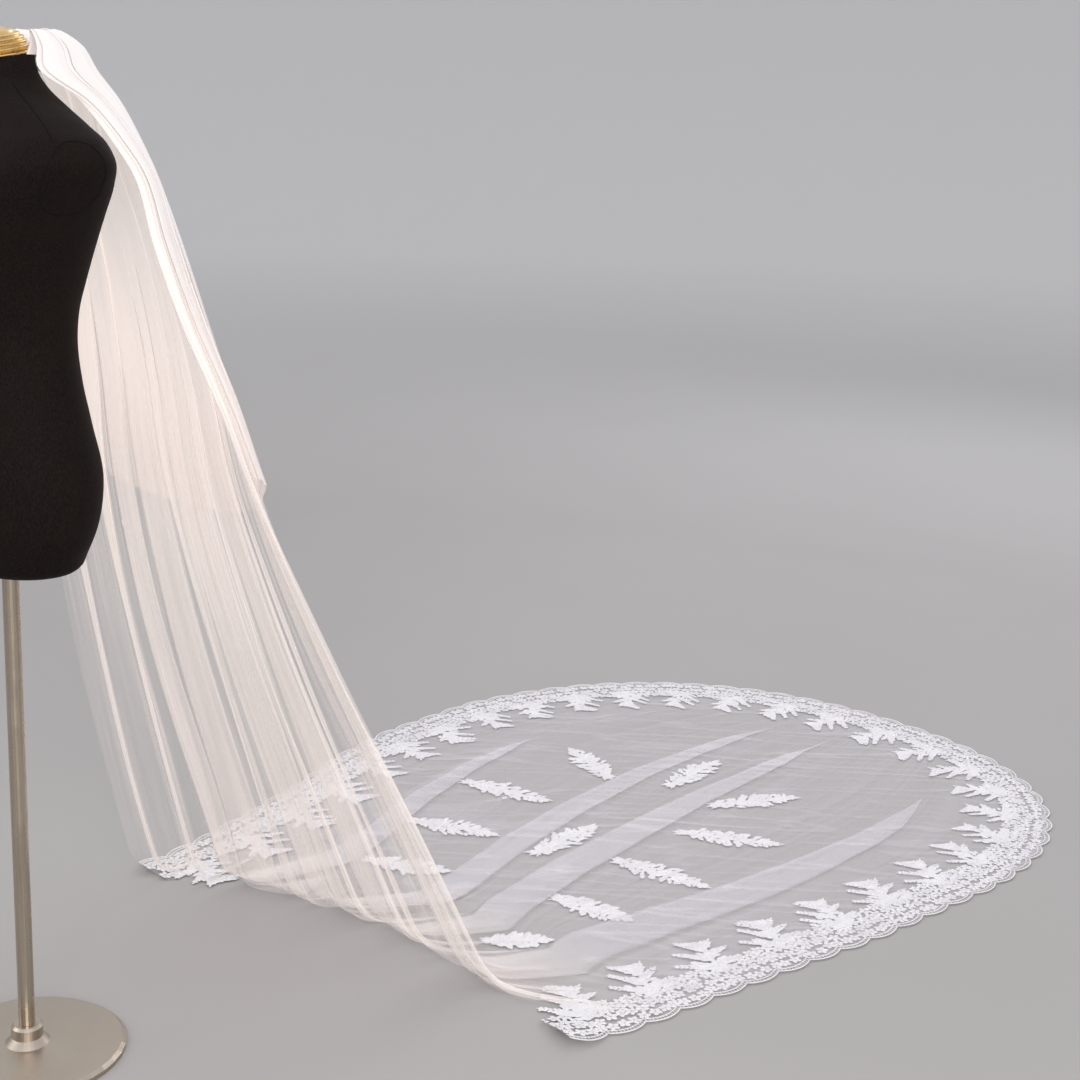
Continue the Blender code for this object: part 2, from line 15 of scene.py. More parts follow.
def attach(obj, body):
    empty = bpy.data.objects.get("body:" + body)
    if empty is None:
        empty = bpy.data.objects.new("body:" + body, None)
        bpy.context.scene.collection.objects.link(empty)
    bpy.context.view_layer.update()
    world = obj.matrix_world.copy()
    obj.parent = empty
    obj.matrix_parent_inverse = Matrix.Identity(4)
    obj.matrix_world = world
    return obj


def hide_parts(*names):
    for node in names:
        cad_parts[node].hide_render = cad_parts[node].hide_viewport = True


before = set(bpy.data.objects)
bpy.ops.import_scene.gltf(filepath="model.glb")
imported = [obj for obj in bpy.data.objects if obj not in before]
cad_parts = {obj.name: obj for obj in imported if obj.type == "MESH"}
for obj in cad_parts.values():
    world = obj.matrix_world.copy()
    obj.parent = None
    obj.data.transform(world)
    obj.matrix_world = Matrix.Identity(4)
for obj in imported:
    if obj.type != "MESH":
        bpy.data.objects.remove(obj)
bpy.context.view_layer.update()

# ---- The veil's sizes, as in the frame

FLAT_WIDTH = 1.75  # both tiers, as cut
SHORT_TIER_LENGTH = 0.80
TIER_SPACING = 0.009  # short tier outside the long one
SHORT_TIER_WIDER = 0.003
SHORT_TIER_CORNER = 0.912  # height of its hem at the free edges
SHORT_TIER_DROP = 0.112  # how much lower the hem is at the centre of the back
HEM_ROUNDNESS = 2.4

# Hanging tulle: height, far edge x, y, near edge x, y, bulge behind the chord, roundness
HANG_SECTIONS = (
    (1.516, -0.046, 0.0755, 0.046, 0.0755, 0.003, 2.0),
    (1.530, -0.052, 0.0770, 0.052, 0.0770, 0.008, 2.0),
    (1.528, -0.062, 0.0700, 0.060, 0.0710, 0.024, 2.2),
    (1.498, -0.082, 0.0690, 0.080, 0.0710, 0.064, 2.6),
    (1.455, -0.112, 0.0800, 0.108, 0.0820, 0.087, 2.8),
    (1.405, -0.150, 0.1000, 0.144, 0.1010, 0.084, 3.0),
    (1.350, -0.178, 0.1240, 0.168, 0.1250, 0.078, 3.0),
    (1.260, -0.198, 0.1380, 0.180, 0.1440, 0.096, 2.8),
    (1.140, -0.222, 0.1600, 0.190, 0.1840, 0.104, 2.6),
    (1.020, -0.244, 0.1820, 0.200, 0.2360, 0.100, 2.4),
    (0.880, -0.268, 0.2060, 0.206, 0.2920, 0.090, 2.2),
    (0.730, -0.292, 0.2360, 0.232, 0.3500, 0.082, 2.1),
    (0.560, -0.322, 0.2780, 0.268, 0.4160, 0.078, 2.0),
    (0.380, -0.352, 0.3280, 0.306, 0.4920, 0.076, 2.0),
    (0.200, -0.386, 0.3860, 0.346, 0.5660, 0.075, 2.0),
    (0.070, -0.412, 0.4300, 0.374, 0.6200, 0.075, 2.0),
    (0.012, -0.428, 0.4540, 0.390, 0.6460, 0.075, 2.0),
)
PUFF_SECTIONS = (
    (1.518, -0.046, 0.0700, 0.046, 0.0700, 0.003, 2.0),
    (1.541, -0.049, 0.0705, 0.049, 0.0705, 0.006, 2.0),
    (1.552, -0.053, 0.0660, 0.053, 0.0660, 0.016, 2.0),
    (1.548, -0.065, 0.0640, 0.064, 0.0650, 0.034, 2.2),
    (1.528, -0.080, 0.0630, 0.078, 0.0640, 0.064, 2.4),
)

# Train: distance behind the pole, centre x, half width
TRAIN_START = 0.60
TRAIN_END_RADIUS = 0.70
TRAIN_END_CENTRE = 1.55
TRAIN_END_SQUARENESS = 2.25
TRAIN_END_SIDE = -0.015
TRAIN_END_LEAN = 0.10
TRAIN_FRONT_BEND = 0.42
TRAIN_WIDTHS = (
    (TRAIN_START, 0.062, 0.500),
    (0.75, 0.055, 0.537),
    (0.92, 0.026, 0.585),
    (1.10, -0.004, 0.640),
    (1.30, -0.016, 0.682),
    (1.55, TRAIN_END_SIDE, TRAIN_END_RADIUS),
)
# Front edge of the train: place across as a share of the half width, y
TRAIN_FRONT = (
    (-1.00, 0.470),
    (-0.86, 0.446),
    (-0.70, 0.500),
    (-0.52, 0.560),
    (-0.20, 0.592),
    (0.10, 0.622),
    (0.35, 0.655),
    (0.60, 0.640),
    (0.78, 0.600),
    (0.90, 0.592),
    (1.00, 0.630),
)

# Folds of the long tier where it hangs, from the far edge (0) to the near edge (1).
# place at the comb, place at the floor, half width at the comb, at the floor, depth at the floor
LONG_FOLDS = (
    (0.05, 0.060, 0.050, 0.006, 0.010),
    (0.13, 0.160, 0.050, 0.010, 0.012),
    (0.20, 0.240, 0.050, 0.030, 0.016),
    (0.30, 0.330, 0.060, 0.052, 0.012),
    (0.37, 0.415, 0.050, 0.014, 0.018),
    (0.44, 0.470, 0.050, 0.034, 0.020),
    (0.51, 0.530, 0.050, 0.026, 0.016),
    (0.57, 0.588, 0.040, 0.006, 0.010),
    (0.63, 0.655, 0.050, 0.032, 0.018),
    (0.69, 0.715, 0.040, 0.006, 0.010),
    (0.75, 0.758, 0.040, 0.005, 0.008),
    (0.83, 0.860, 0.055, 0.036, 0.018),
    (0.89, 0.912, 0.045, 0.022, 0.014),
    (0.96, 0.972, 0.030, 0.006, 0.008),
)
# Pleats of the train: which fold runs into it, place across at its start, middle and end from
# 0 to 1, first y, last y, half width in metres
TRAIN_PLEATS = (
    (2, 0.255, 0.215, 0.185, 0.84, 1.58, 0.018),
    (5, 0.495, 0.430, 0.355, 0.74, 2.10, 0.020),
    (8, 0.605, 0.565, 0.475, 0.74, 2.10, 0.024),
    (11, 0.755, 0.855, 0.755, 0.74, 2.00, 0.028),
)
# Folds of the short tier, columns as for the long one
SHORT_FOLDS = (
    (0.04, 0.050, 0.040, 0.022, 0.010),
    (0.11, 0.125, 0.050, 0.034, 0.012),
    (0.19, 0.205, 0.050, 0.030, 0.014),
    (0.27, 0.290, 0.050, 0.038, 0.012),
    (0.35, 0.370, 0.050, 0.030, 0.012),
    (0.43, 0.450, 0.050, 0.040, 0.014),
    (0.50, 0.530, 0.050, 0.030, 0.010),
    (0.57, 0.600, 0.050, 0.018, 0.012),
    (0.65, 0.680, 0.040, 0.012, 0.010),
    (0.73, 0.745, 0.050, 0.016, 0.010),
    (0.81, 0.830, 0.050, 0.034, 0.014),
    (0.88, 0.900, 0.050, 0.034, 0.012),
    (0.95, 0.965, 0.040, 0.016, 0.010),
)

LACE_UNIT = 0.148  # one spray and two scallops of the border
SCALLOPS_PER_UNIT = 2
SCALLOP_DEPTH = 0.012
LACE_LEVEL = 0.0026  # the lace lies just above the tulle
BORDERS = (
    "border_far_corner",
    "border_far_side",
    "border_end",
    "border_near_side",
    "border_near_corner",
)
# Sprays sewn on the train: node, centre x, y, length, width, angle in degrees
SPRAYS = (
    ("spray_a", -0.252, 1.512, 0.200, 0.082, 162),
    ("spray_b", -0.060, 1.640, 0.205, 0.082, 97),
    ("spray_c", -0.262, 1.262, 0.215, 0.080, 16),
    ("spray_d", 0.126, 1.618, 0.205, 0.080, 62),
    ("spray_e", -0.196, 1.052, 0.200, 0.078, 25),
    ("spray_f", 0.000, 1.178, 0.200, 0.076, 94),
    ("spray_g", 0.214, 1.432, 0.215, 0.080, 30),
    ("spray_h", 0.232, 1.208, 0.215, 0.080, 12),
    ("spray_i", 0.246, 1.002, 0.172, 0.074, 14),
    ("spray_j", -0.120, 0.866, 0.180, 0.076, 28),
    ("spray_k", 0.247, 0.812, 0.120, 0.062, 48),
)

# Torso sections: height, half width, reach to the front, to the back, squareness
TORSO_SECTIONS = (
    (0.790, 0.134, 0.080, 0.080, 2.1),
    (0.796, 0.143, 0.088, 0.086, 2.1),
    (0.812, 0.152, 0.096, 0.092, 2.1),
    (0.852, 0.168, 0.108, 0.108, 2.1),
    (0.918, 0.174, 0.114, 0.119, 2.1),
    (1.001, 0.157, 0.108, 0.106, 2.1),
    (1.059, 0.137, 0.098, 0.099, 2.1),
    (1.122, 0.125, 0.092, 0.097, 2.1),
    (1.165, 0.130, 0.096, 0.101, 2.1),
    (1.204, 0.141, 0.108, 0.108, 2.2),
    (1.255, 0.161, 0.130, 0.117, 2.3),
    (1.302, 0.186, 0.130, 0.120, 2.5),
    (1.345, 0.214, 0.114, 0.118, 2.7),
    (1.376, 0.226, 0.098, 0.110, 2.9),
    (1.400, 0.219, 0.085, 0.100, 2.8),
    (1.422, 0.190, 0.074, 0.088, 2.6),
    (1.450, 0.138, 0.064, 0.077, 2.3),
    (1.473, 0.094, 0.058, 0.068, 2.1),
    (1.492, 0.070, 0.057, 0.060, 2.0),
    (1.515, 0.058, 0.058, 0.056, 2.0),
)
NECK_FOOT = 1.47
NECK_TOP = 1.515
NECK_TILT = math.radians(10)
CAP_RADIUS = 0.054
CAP_HEIGHT = 0.037
CAP_BASE = 0.0036


# ---- Materials


class Shader:
    """A material with its Principled node, and short ways of adding nodes to it."""

    def __init__(self, name, **sockets):
        self.material = bpy.data.materials.new(name)
        self.material.use_nodes = True
        self.tree = self.material.node_tree
        self.principled = self.tree.nodes["Principled BSDF"]
        for socket, value in sockets.items():
            self.to(socket.replace("_", " "), value)

    def add(self, kind, properties=None, **sockets):
        node = self.tree.nodes.new(kind)
        for name, value in (properties or {}).items():
            setattr(node, name, value)
        for name, value in sockets.items():
            self.plug(value, node.inputs[name.replace("_", " ")])
        return node

    def plug(self, value, socket):
        if isinstance(value, bpy.types.NodeSocket):
            self.tree.links.new(value, socket)
        else:
            colour = socket.type == "RGBA" and len(value) == 3
            socket.default_value = (*value, 1.0) if colour else value

    def to(self, socket, value):
        self.plug(value, self.principled.inputs[socket])

    def place(self):
        return self.add("ShaderNodeTexCoord").outputs["Object"]

    def cloth(self):
        return self.add("ShaderNodeUVMap", {"uv_map": "cloth"}).outputs[0]

    def share(self, name):
        return self.add("ShaderNodeAttribute", {"attribute_name": name}).outputs["Fac"]

    def math(self, operation, first, second=0.0, third=0.0):
        node = self.add("ShaderNodeMath", {"operation": operation})
        for socket, value in zip(node.inputs, (first, second, third)):
            self.plug(value, socket)
        return node.outputs[0]

    def mix(self, factor, first, second):
        node = self.add("ShaderNodeMix", {"data_type": "RGBA"})
        for index, value in ((0, factor), (6, first), (7, second)):
            self.plug(value, node.inputs[index])
        return node.outputs[2]

    def scaled(self, source, scale, turn=(0.0, 0.0, 0.0)):
        return self.add("ShaderNodeMapping", Vector=source, Scale=scale, Rotation=turn).outputs[0]

    def noise(self, vector, scale, detail=2.0, roughness=0.5):
        """Noise at a scale, or at three scales along the axes."""
        if isinstance(scale, tuple):
            vector, scale = self.scaled(vector, scale), 1.0
        sockets = {"Vector": vector, "Scale": scale, "Detail": detail, "Roughness": roughness}
        return self.add("ShaderNodeTexNoise", **sockets).outputs["Fac"]

    def ramp(self, value, low=0.3, high=0.7, to_low=0.0, to_high=1.0):
        sockets = {"From_Min": low, "From_Max": high, "To_Min": to_low, "To_Max": to_high}
        return self.add("ShaderNodeMapRange", Value=value, **sockets).outputs[0]

    def radius(self, vector):
        node = self.add("ShaderNodeVectorMath", {"operation": "LENGTH"})
        self.plug(vector, node.inputs[0])
        return node.outputs["Value"]

    def bump(self, height, strength, distance):
        node = self.add("ShaderNodeBump", Height=height, Strength=strength, Distance=distance)
        self.to("Normal", node.outputs[0])


def net_cells(look, cloth, cell):
    """0 on the crossing threads of a fine net, rising to 1 in the middle of its cells."""
    parts = look.add("ShaderNodeSeparateXYZ", Vector=cloth)
    nearest = 1.0
    for sign in (1.0, -1.0):
        diagonal = look.math("MULTIPLY_ADD", parts.outputs["Y"], sign, parts.outputs["X"])
        wave = look.math("SINE", look.math("MULTIPLY", diagonal, math.pi / cell))
        nearest = look.math("MINIMUM", look.math("ABSOLUTE", wave), nearest)
    return nearest


TULLE_CELL = 0.0022
LACE_CELL = 0.0055
CREASE_TURN = -0.72  # the train's creases run askew, as its pleats do
# colour of the tulle's painted glow
PAINTED_GLOW_COLOUR = (1.0, 0.925, 0.885)


def tulle_material(name, top_colour, low_colour, floor_colour, thin, dense, painted_glow):
    """See-through net.  Where it is gathered its holes close, so it is more solid there."""
    look = Shader(name, Roughness=0.8, Sheen_Weight=0.3, Sheen_Roughness=0.4)
    look.to("Emission Color", PAINTED_GLOW_COLOUR)
    cloth, gather, lies = look.cloth(), look.share("gather"), look.share("lies")
    # painted glow: emission in place of the light that white threads scatter on through the cloth,
    # more where it is gathered; it lights the cloth where no lamp reaches
    look.to("Emission Strength", look.ramp(gather, 0.25, 1.0, 0.14, painted_glow))
    streaks = look.noise(cloth, (170.0, 1.7, 1.0), 1.0, 0.6)
    bands = look.noise(cloth, (36.0, 0.5, 1.0), 0.0)
    turned = look.scaled(look.place(), (1.0, 1.0, 1.0), (0.0, 0.0, CREASE_TURN))
    creases = 0.0
    for along, across, width in ((1.0, 7.0, 0.020), (2.0, 17.0, 0.030)):
        warped = look.noise(turned, (along, across, 1.0), 1.0, 0.55)
        off_line = look.math("ABSOLUTE", look.math("SUBTRACT", warped, 0.5))
        creases = look.math("ADD", look.ramp(off_line, 0.0, width, 0.6, 0.0), creases)
    creases = look.math("MULTIPLY", creases, lies)
    swing = look.math("MULTIPLY", look.math("SUBTRACT", streaks, 0.5), 2.4)
    swing = look.math("MULTIPLY_ADD", look.math("SUBTRACT", bands, 0.5), 1.9, swing)
    for share, begin, calmed in ((lies, 0.0, 0.35), (gather, 0.5, 0.12)):
        swing = look.math("MULTIPLY", swing, look.ramp(share, begin, 1.0, 1.0, calmed))
    solid = look.ramp(gather, 0.0, 1.0, thin, dense)
    solid = look.math("MULTIPLY", solid, look.math("ADD", swing, 1.0))
    threads = look.ramp(net_cells(look, cloth, TULLE_CELL), 0.0, 0.45, 1.0, 0.55)
    gaps = look.math("MULTIPLY_ADD", threads, -0.45, 0.34)  # what the holes take away
    gaps = look.math("MULTIPLY", gaps, look.ramp(gather, 0.7, 1.0, 1.0, 0.0))
    solid = look.math("MULTIPLY", solid, look.math("SUBTRACT", 1.0, gaps))
    solid = look.math("MULTIPLY_ADD", creases, 0.17, solid)
    look.to("Alpha", look.math("MINIMUM", look.math("MAXIMUM", solid, 0.03), 0.99))
    # painted light: the colour warms where the net thins, for warm light from below, and is darker
    # where it is gathered, where the painted glow and the key light would wash it out
    look.to("Base Color", look.mix(lies, look.mix(gather, low_colour, top_colour), floor_colour))
    look.bump(look.math("MULTIPLY_ADD", creases, 0.5, streaks), 0.3, 0.0012)
    look.material.cycles.emission_sampling = "NONE"
    return look.material


def band_material():
    """The heading that both tiers are gathered on: tiny drawn pleats under rows of stitches."""
    look = Shader("gathered_heading", Roughness=0.75, Sheen_Weight=0.3, Sheen_Roughness=0.4)
    place = look.place()
    pleats = look.noise(place, (620.0, 620.0, 14.0), 2.0, 0.6)
    parts = look.add("ShaderNodeSeparateXYZ", Vector=place)
    stitched = 1.0
    for axis, spacing, low, high in (("Z", 0.008, 0.86, 0.94), ("X", 0.004, 0.0, 0.3)):
        wave = look.math("SINE", look.math("MULTIPLY", parts.outputs[axis], math.tau / spacing))
        stitched = look.math("MULTIPLY", look.ramp(wave, low, high), stitched)
    # painted shade: the pleated cloth is darker where the pleat noise, which also sets the bump, is
    # low, in the hollows of the pleats
    cloth = look.mix(look.ramp(pleats), (0.52, 0.46, 0.45), (0.78, 0.73, 0.71))
    look.to("Base Color", look.mix(stitched, cloth, (0.88, 0.85, 0.83)))
    look.bump(look.math("MULTIPLY_ADD", stitched, 0.5, pleats), 0.6, 0.0009)
    return look.material


def lace_material():
    """Corded cotton lace: matt white thread with a fine worked surface."""
    look = Shader("lace_thread", Roughness=0.7, Sheen_Weight=0.3, Sheen_Roughness=0.45)
    place = look.place()
    thread = look.noise(place, (900.0, 620.0, 400.0), 2.0, 0.6)
    patch = look.noise(place, 26.0)
    colour = look.mix(look.ramp(patch), (0.72, 0.70, 0.72), (0.84, 0.82, 0.84))
    # painted shade: the thread is darker where the noise that sets its bump is low, in the hollows
    # of the worked surface
    look.to("Base Color", look.mix(look.ramp(thread, 0.35, 0.6), (0.55, 0.53, 0.55), colour))
    look.bump(thread, 0.6, 0.0008)
    return look.material


def lace_ground_material():
    """The lace's own net: coarse cells with tiny holes, more solid than the tulle."""
    look = Shader("lace_ground", Roughness=0.75, Sheen_Weight=0.2)
    cloth = look.cloth()
    threads = look.ramp(net_cells(look, cloth, LACE_CELL), 0.10, 0.38, 0.62, 0.06)
    look.to("Alpha", threads)
    cloud = look.noise(cloth, 60.0)
    look.to("Base Color", look.mix(cloud, (0.62, 0.58, 0.58), (0.76, 0.73, 0.74)))
    look.bump(threads, 0.5, 0.0006)
    return look.material


def jersey_material():
    """Black knitted jersey: fine ribs, a faint nap and slightly rubbed places."""
    look = Shader("jersey_knit", Sheen_Weight=0.02, Sheen_Roughness=0.5, Specular_IOR_Level=0.08)
    look.to("Sheen Tint", (0.55, 0.48, 0.44))
    place = look.place()
    ribs = look.noise(place, (620.0, 620.0, 160.0), 2.0, 0.55)
    rubbed = look.noise(place, 9.0, 4.0, 0.6)
    worn = look.ramp(rubbed, 0.35, 0.7)
    base = look.mix(worn, (0.0022, 0.0014, 0.0012), (0.0070, 0.0046, 0.0037))
    look.to("Base Color", look.mix(look.ramp(ribs), base, (0.011, 0.0073, 0.0060)))
    look.to("Roughness", look.ramp(rubbed, to_low=0.72, to_high=0.9))
    look.bump(ribs, 0.5, 0.0006)
    return look.material


def seam_material():
    look = Shader("jersey_seam", Roughness=0.9, Specular_IOR_Level=0.04)
    twist = look.noise(look.place(), 900.0)
    look.to("Base Color", look.mix(twist, (0.004, 0.0035, 0.003), (0.012, 0.010, 0.009)))
    look.bump(twist, 0.4, 0.0004)
    return look.material


METAL_DEPTH = 0.0003  # of turning and brushing marks


def gold_material():
    """Gilt turned metal with fine turning lines and warm, uneven polish."""
    look = Shader("turned_gilt", Metallic=1.0)
    place = look.place()
    lines, cloud = look.noise(place, (40.0, 40.0, 2600.0)), look.noise(place, 60.0, 3.0)
    look.to("Base Color", look.mix(cloud, (0.62, 0.40, 0.15), (0.88, 0.68, 0.36)))
    look.to("Roughness", look.ramp(look.math("ADD", lines, cloud), 0.6, 1.4, 0.16, 0.38))
    look.bump(lines, 0.25, METAL_DEPTH)
    return look.material


def pole_material():
    """Polished warm-grey metal drawn lengthways, with faint smudges."""
    look = Shader("drawn_metal", Metallic=1.0)
    place = look.place()
    drawn, smudge = look.noise(place, (900.0, 900.0, 6.0)), look.noise(place, 22.0, 3.0)
    look.to("Base Color", look.mix(drawn, (0.30, 0.25, 0.19), (0.62, 0.55, 0.45)))
    look.to("Roughness", look.ramp(smudge, to_low=0.2, to_high=0.4))
    look.bump(drawn, 0.2, METAL_DEPTH)
    return look.material


def base_material():
    """Brushed round base: rings of turning marks under a satin finish."""
    look = Shader("brushed_base", Metallic=1.0)
    place = look.place()
    radius = look.radius(look.scaled(place, (1.0, 1.0, 0.0)))
    rings = look.noise(look.add("ShaderNodeCombineXYZ", X=radius).outputs[0], 1400.0)
    smudge = look.noise(place, 14.0, 3.0)
    look.to("Base Color", look.mix(rings, (0.34, 0.29, 0.24), (0.56, 0.50, 0.43)))
    look.to("Roughness", look.ramp(smudge, to_low=0.28, to_high=0.48))
    look.bump(rings, 0.15, METAL_DEPTH)
    return look.material


def comb_material():
    look = Shader("comb_plastic", Transmission_Weight=0.2, IOR=1.49)
    cloud = look.noise(look.place(), 120.0)
    look.to("Base Color", look.mix(cloud, (0.86, 0.85, 0.82), (0.95, 0.94, 0.92)))
    look.to("Roughness", look.ramp(cloud, to_low=0.12, to_high=0.26))
    return look.material


def floor_material():
    """Matt pale floor, a little lighter where it rises into the backdrop."""
    look = Shader("studio_floor", Roughness=0.9)
    place = look.place()
    floor = look.mix(look.noise(place, 1.2, 4.0), (0.335, 0.32, 0.315), (0.365, 0.35, 0.345))
    away = look.ramp(look.radius(place), 3.6, 12.0)
    look.to("Base Color", look.mix(away, floor, (0.60, 0.59, 0.59)))
    return look.material


# ---- Mesh helpers


def ease(share):
    share = np.clip(share, 0.0, 1.0)
    return share * share * (3 - 2 * share)


def between(first, second, share):
    return first * (1 - share) + second * share


def table_reading(rows, place, column):
    """Linear reading of one column of a table whose first column is the place."""
    table = np.array(rows)
    return np.interp(place, table[:, 0], table[:, column])


def make_piece(name, points, faces, finishes, cloth=None, shares=None, face_finish=None):
    """A smooth mesh object with an optional cloth UV map in metres and named point shares."""
    mesh = bpy.data.meshes.new(name)
    corners = np.asarray(points).reshape(-1, 3).tolist()
    mesh.from_pydata(corners, [], [tuple(face) for face in faces])
    for finish in finishes:
        mesh.materials.append(finish)
    if face_finish is not None:
        mesh.polygons.foreach_set("material_index", np.asarray(face_finish, dtype=np.int32))
    if cloth is not None:
        corner = np.empty(len(mesh.loops), dtype=np.int32)
        mesh.loops.foreach_get("vertex_index", corner)
        layer = mesh.uv_layers.new(name="cloth")
        layer.data.foreach_set("uv", np.asarray(cloth)[corner].astype(np.float32).ravel())
    for share, values in (shares or {}).items():
        made = mesh.attributes.new(share, "FLOAT", "POINT")
        made.data.foreach_set("value", np.asarray(values, dtype=np.float32).ravel())
    mesh.shade_smooth()
    mesh.update()
    piece = bpy.data.objects.new(name, mesh)
    bpy.context.collection.objects.link(piece)
    return piece


def grid_faces(rows, columns, closed=False):
    index = np.arange(rows * columns).reshape(rows, columns)
    if closed:
        index = np.concatenate([index, index[:, :1]], axis=1)
    corners = (index[:-1, :-1], index[:-1, 1:], index[1:, 1:], index[1:, :-1])
    return np.stack(corners, axis=-1).reshape(-1, 4)


def run_along(steps):
    return np.concatenate([[0.0], np.cumsum(steps)])


def even_places(run, count):
    """For evenly spaced places on a run: the interval each falls in, and its share there."""
    wanted = np.linspace(0, run[-1], count)
    low = np.clip(np.searchsorted(run, wanted, side="right") - 1, 0, len(run) - 2)
    return low, ((wanted - run[low]) / (run[low + 1] - run[low]))[:, None]


def hermite(start, end, leave, arrive, share):
    square, cube = share**2, share**3
    return (
        (2 * cube - 3 * square + 1) * start
        + (cube - 2 * square + share) * leave
        + (3 * square - 2 * cube) * end
        + (cube - square) * arrive
    )


def smooth_rows(table, count):
    """Catmull-Rom rows through a table, evenly spaced by the distance the rows run."""
    table = np.array(table)
    middle_y = 0.5 * (table[:, 2] + table[:, 4]) + table[:, 5]
    run = run_along(np.hypot(np.diff(table[:, 0]), np.diff(middle_y)))
    low, share = even_places(run, count)
    before, after = np.maximum(low - 1, 0), np.minimum(low + 2, len(run) - 1)
    start, end = table[low], table[low + 1]
    span = (run[low + 1] - run[low])[:, None]
    span_before = np.maximum(run[low + 1] - run[before], 1e-6)[:, None]
    span_after = np.maximum(run[after] - run[low], 1e-6)[:, None]
    leave = (end - table[before]) / span_before * span
    arrive = (table[after] - start) / span_after * span
    return hermite(start, end, leave, arrive, share)


def hang_surface(sections, places):
    """Points of the unfolded hanging cloth; extra columns give an outward and a sideways shift."""
    height, far_x, far_y, near_x, near_y, bulge, roundness, outward, widen = (
        sections[:, column][:, None] for column in range(9)
    )
    across_x, across_y = near_x - far_x, near_y - far_y
    length = np.hypot(across_x, across_y)
    unit_x, unit_y = across_x / length, across_y / length
    signed = 2 * places[None, :] - 1
    arch = bulge * (1 - np.abs(signed) ** roundness)
    slope = -2 * roundness * np.abs(signed) ** (roundness - 1) * np.sign(signed) * bulge / length
    direction_x, direction_y = -unit_y - unit_x * slope, unit_x - unit_y * slope
    outward = outward / np.hypot(direction_x, direction_y)
    x = far_x + across_x * places - unit_y * arch + direction_x * outward + unit_x * widen * signed
    y = far_y + across_y * places + unit_x * arch + direction_y * outward + unit_y * widen * signed
    return np.stack([x, y, np.broadcast_to(height, x.shape)], axis=-1)


def surface_normals(points):
    normal = np.cross(np.gradient(points, axis=1), np.gradient(points, axis=0))
    return normal / np.maximum(np.linalg.norm(normal, axis=-1, keepdims=True), 1e-9)


def sample(grid, level, place):
    """Bilinear reading of a (rows, columns, 3) grid at row shares and column shares."""
    rows, columns = grid.shape[:2]
    r = np.clip(level, 0, 1) * (rows - 1)
    c = np.clip(place, 0, 1) * (columns - 1)
    r0 = np.minimum(r.astype(int), rows - 2)
    c0 = np.minimum(c.astype(int), columns - 2)
    fr, fc = (r - r0)[..., None], (c - c0)[..., None]
    near = between(grid[r0, c0], grid[r0, c0 + 1], fc)
    far = between(grid[r0 + 1, c0], grid[r0 + 1, c0 + 1], fc)
    return between(near, far, fr)


# ---- Folded cloth

LEG_COLUMNS = 5  # columns in each of a fold's three layers
PANEL_COLUMNS = 8  # columns of single cloth between two folds
FOLD_COLUMNS = 3 * LEG_COLUMNS + 1


def fold_columns(centre, half, depth, folded):
    """Places and depths of every column for each row.

    centre, half, depth and folded are (rows, folds).  A folded place runs forward, back and
    forward again, so that three layers lie on each other; unfolded, it lies flat.
    """
    turns = np.linspace(0, 3, FOLD_COLUMNS)
    zigzag = -np.cos(math.pi * turns)
    flat = 2 * turns / 3 - 1
    panel = np.arange(1, PANEL_COLUMNS) / PANEL_COLUMNS
    last_place = last_depth = np.zeros((len(centre), 1))
    places, depths = [last_place], [last_depth]
    for fold in range(centre.shape[1]):
        c, h, k, d = (table[:, fold : fold + 1] for table in (centre, half, folded, depth))
        way = 1 if fold % 2 else -1
        place = c + h * between(flat, zigzag, k)
        layer = d * k * ((turns / 3 - 0.5) * way + 0.5)
        places += [last_place + (place[:, :1] - last_place) * panel, place]
        depths += [last_depth + (layer[:, :1] - last_depth) * ease(panel), layer]
        last_place, last_depth = place[:, -1:], layer[:, -1:]
    end = np.arange(1, PANEL_COLUMNS + 1) / PANEL_COLUMNS
    places.append(last_place + (1 - last_place) * end)
    depths.append(last_depth * (1 - ease(end)))
    return np.concatenate(places, axis=1), np.concatenate(depths, axis=1)


def fold_cover(folded, half):
    """Up to 1 on a fold, most on narrow ones, and 0 on the single cloth between."""
    folded = folded * np.clip(0.022 / half, 0.45, 1.0)
    rows = len(folded)
    parts = [np.zeros((rows, 1))]
    for fold in folded.T:
        covered = np.repeat(fold[:, None], FOLD_COLUMNS, axis=1)
        parts += [np.zeros((rows, PANEL_COLUMNS - 1)), covered]
    cover = np.concatenate([*parts, np.zeros((rows, PANEL_COLUMNS))], axis=1)
    for _ in range(2):
        cover[:, 1:-1] = 0.5 * cover[:, 1:-1] + 0.25 * (cover[:, :-2] + cover[:, 2:])
    return cover


def ripples(metres, columns, seed, across, along):
    """Smooth uneven ripples, as a (rows, columns) array between about -1 and 1."""
    spots = ((column * across, down * along, seed) for down in metres for column in range(columns))
    return np.array([noise.noise(Vector(spot)) for spot in spots]).reshape(-1, columns)


def wander(metres, folds, seed):
    """How far each fold strays sideways on its way down, as a share of the width."""
    return 0.010 * ripples(metres, folds, seed, 3.7, 2.1)


def fold_tables(table, shape):
    """Centre, half width and full depth of every fold for each row, from the comb to the end."""
    top_centre, low_centre, top_half, low_half, depth = np.array(table).T[:, None]
    centre = top_centre + (low_centre - top_centre) * shape
    return centre, top_half + (low_half - top_half) * shape, depth


def cloth_points(grid, level, place, out):
    """Points of the folded cloth: where it lies on the unfolded grid, and how far outside it."""
    outward = sample(surface_normals(grid), level, place)
    return sample(grid, level, place) + outward * out[..., None]


def cloth_piece(name, points, finish, metres, shares):
    rows, columns = points.shape[:2]
    cloth = np.stack(np.meshgrid(np.linspace(0, FLAT_WIDTH, columns), metres), axis=-1)
    faces = grid_faces(rows, columns)
    return make_piece(name, points, faces, [finish], cloth.reshape(-1, 2), shares)


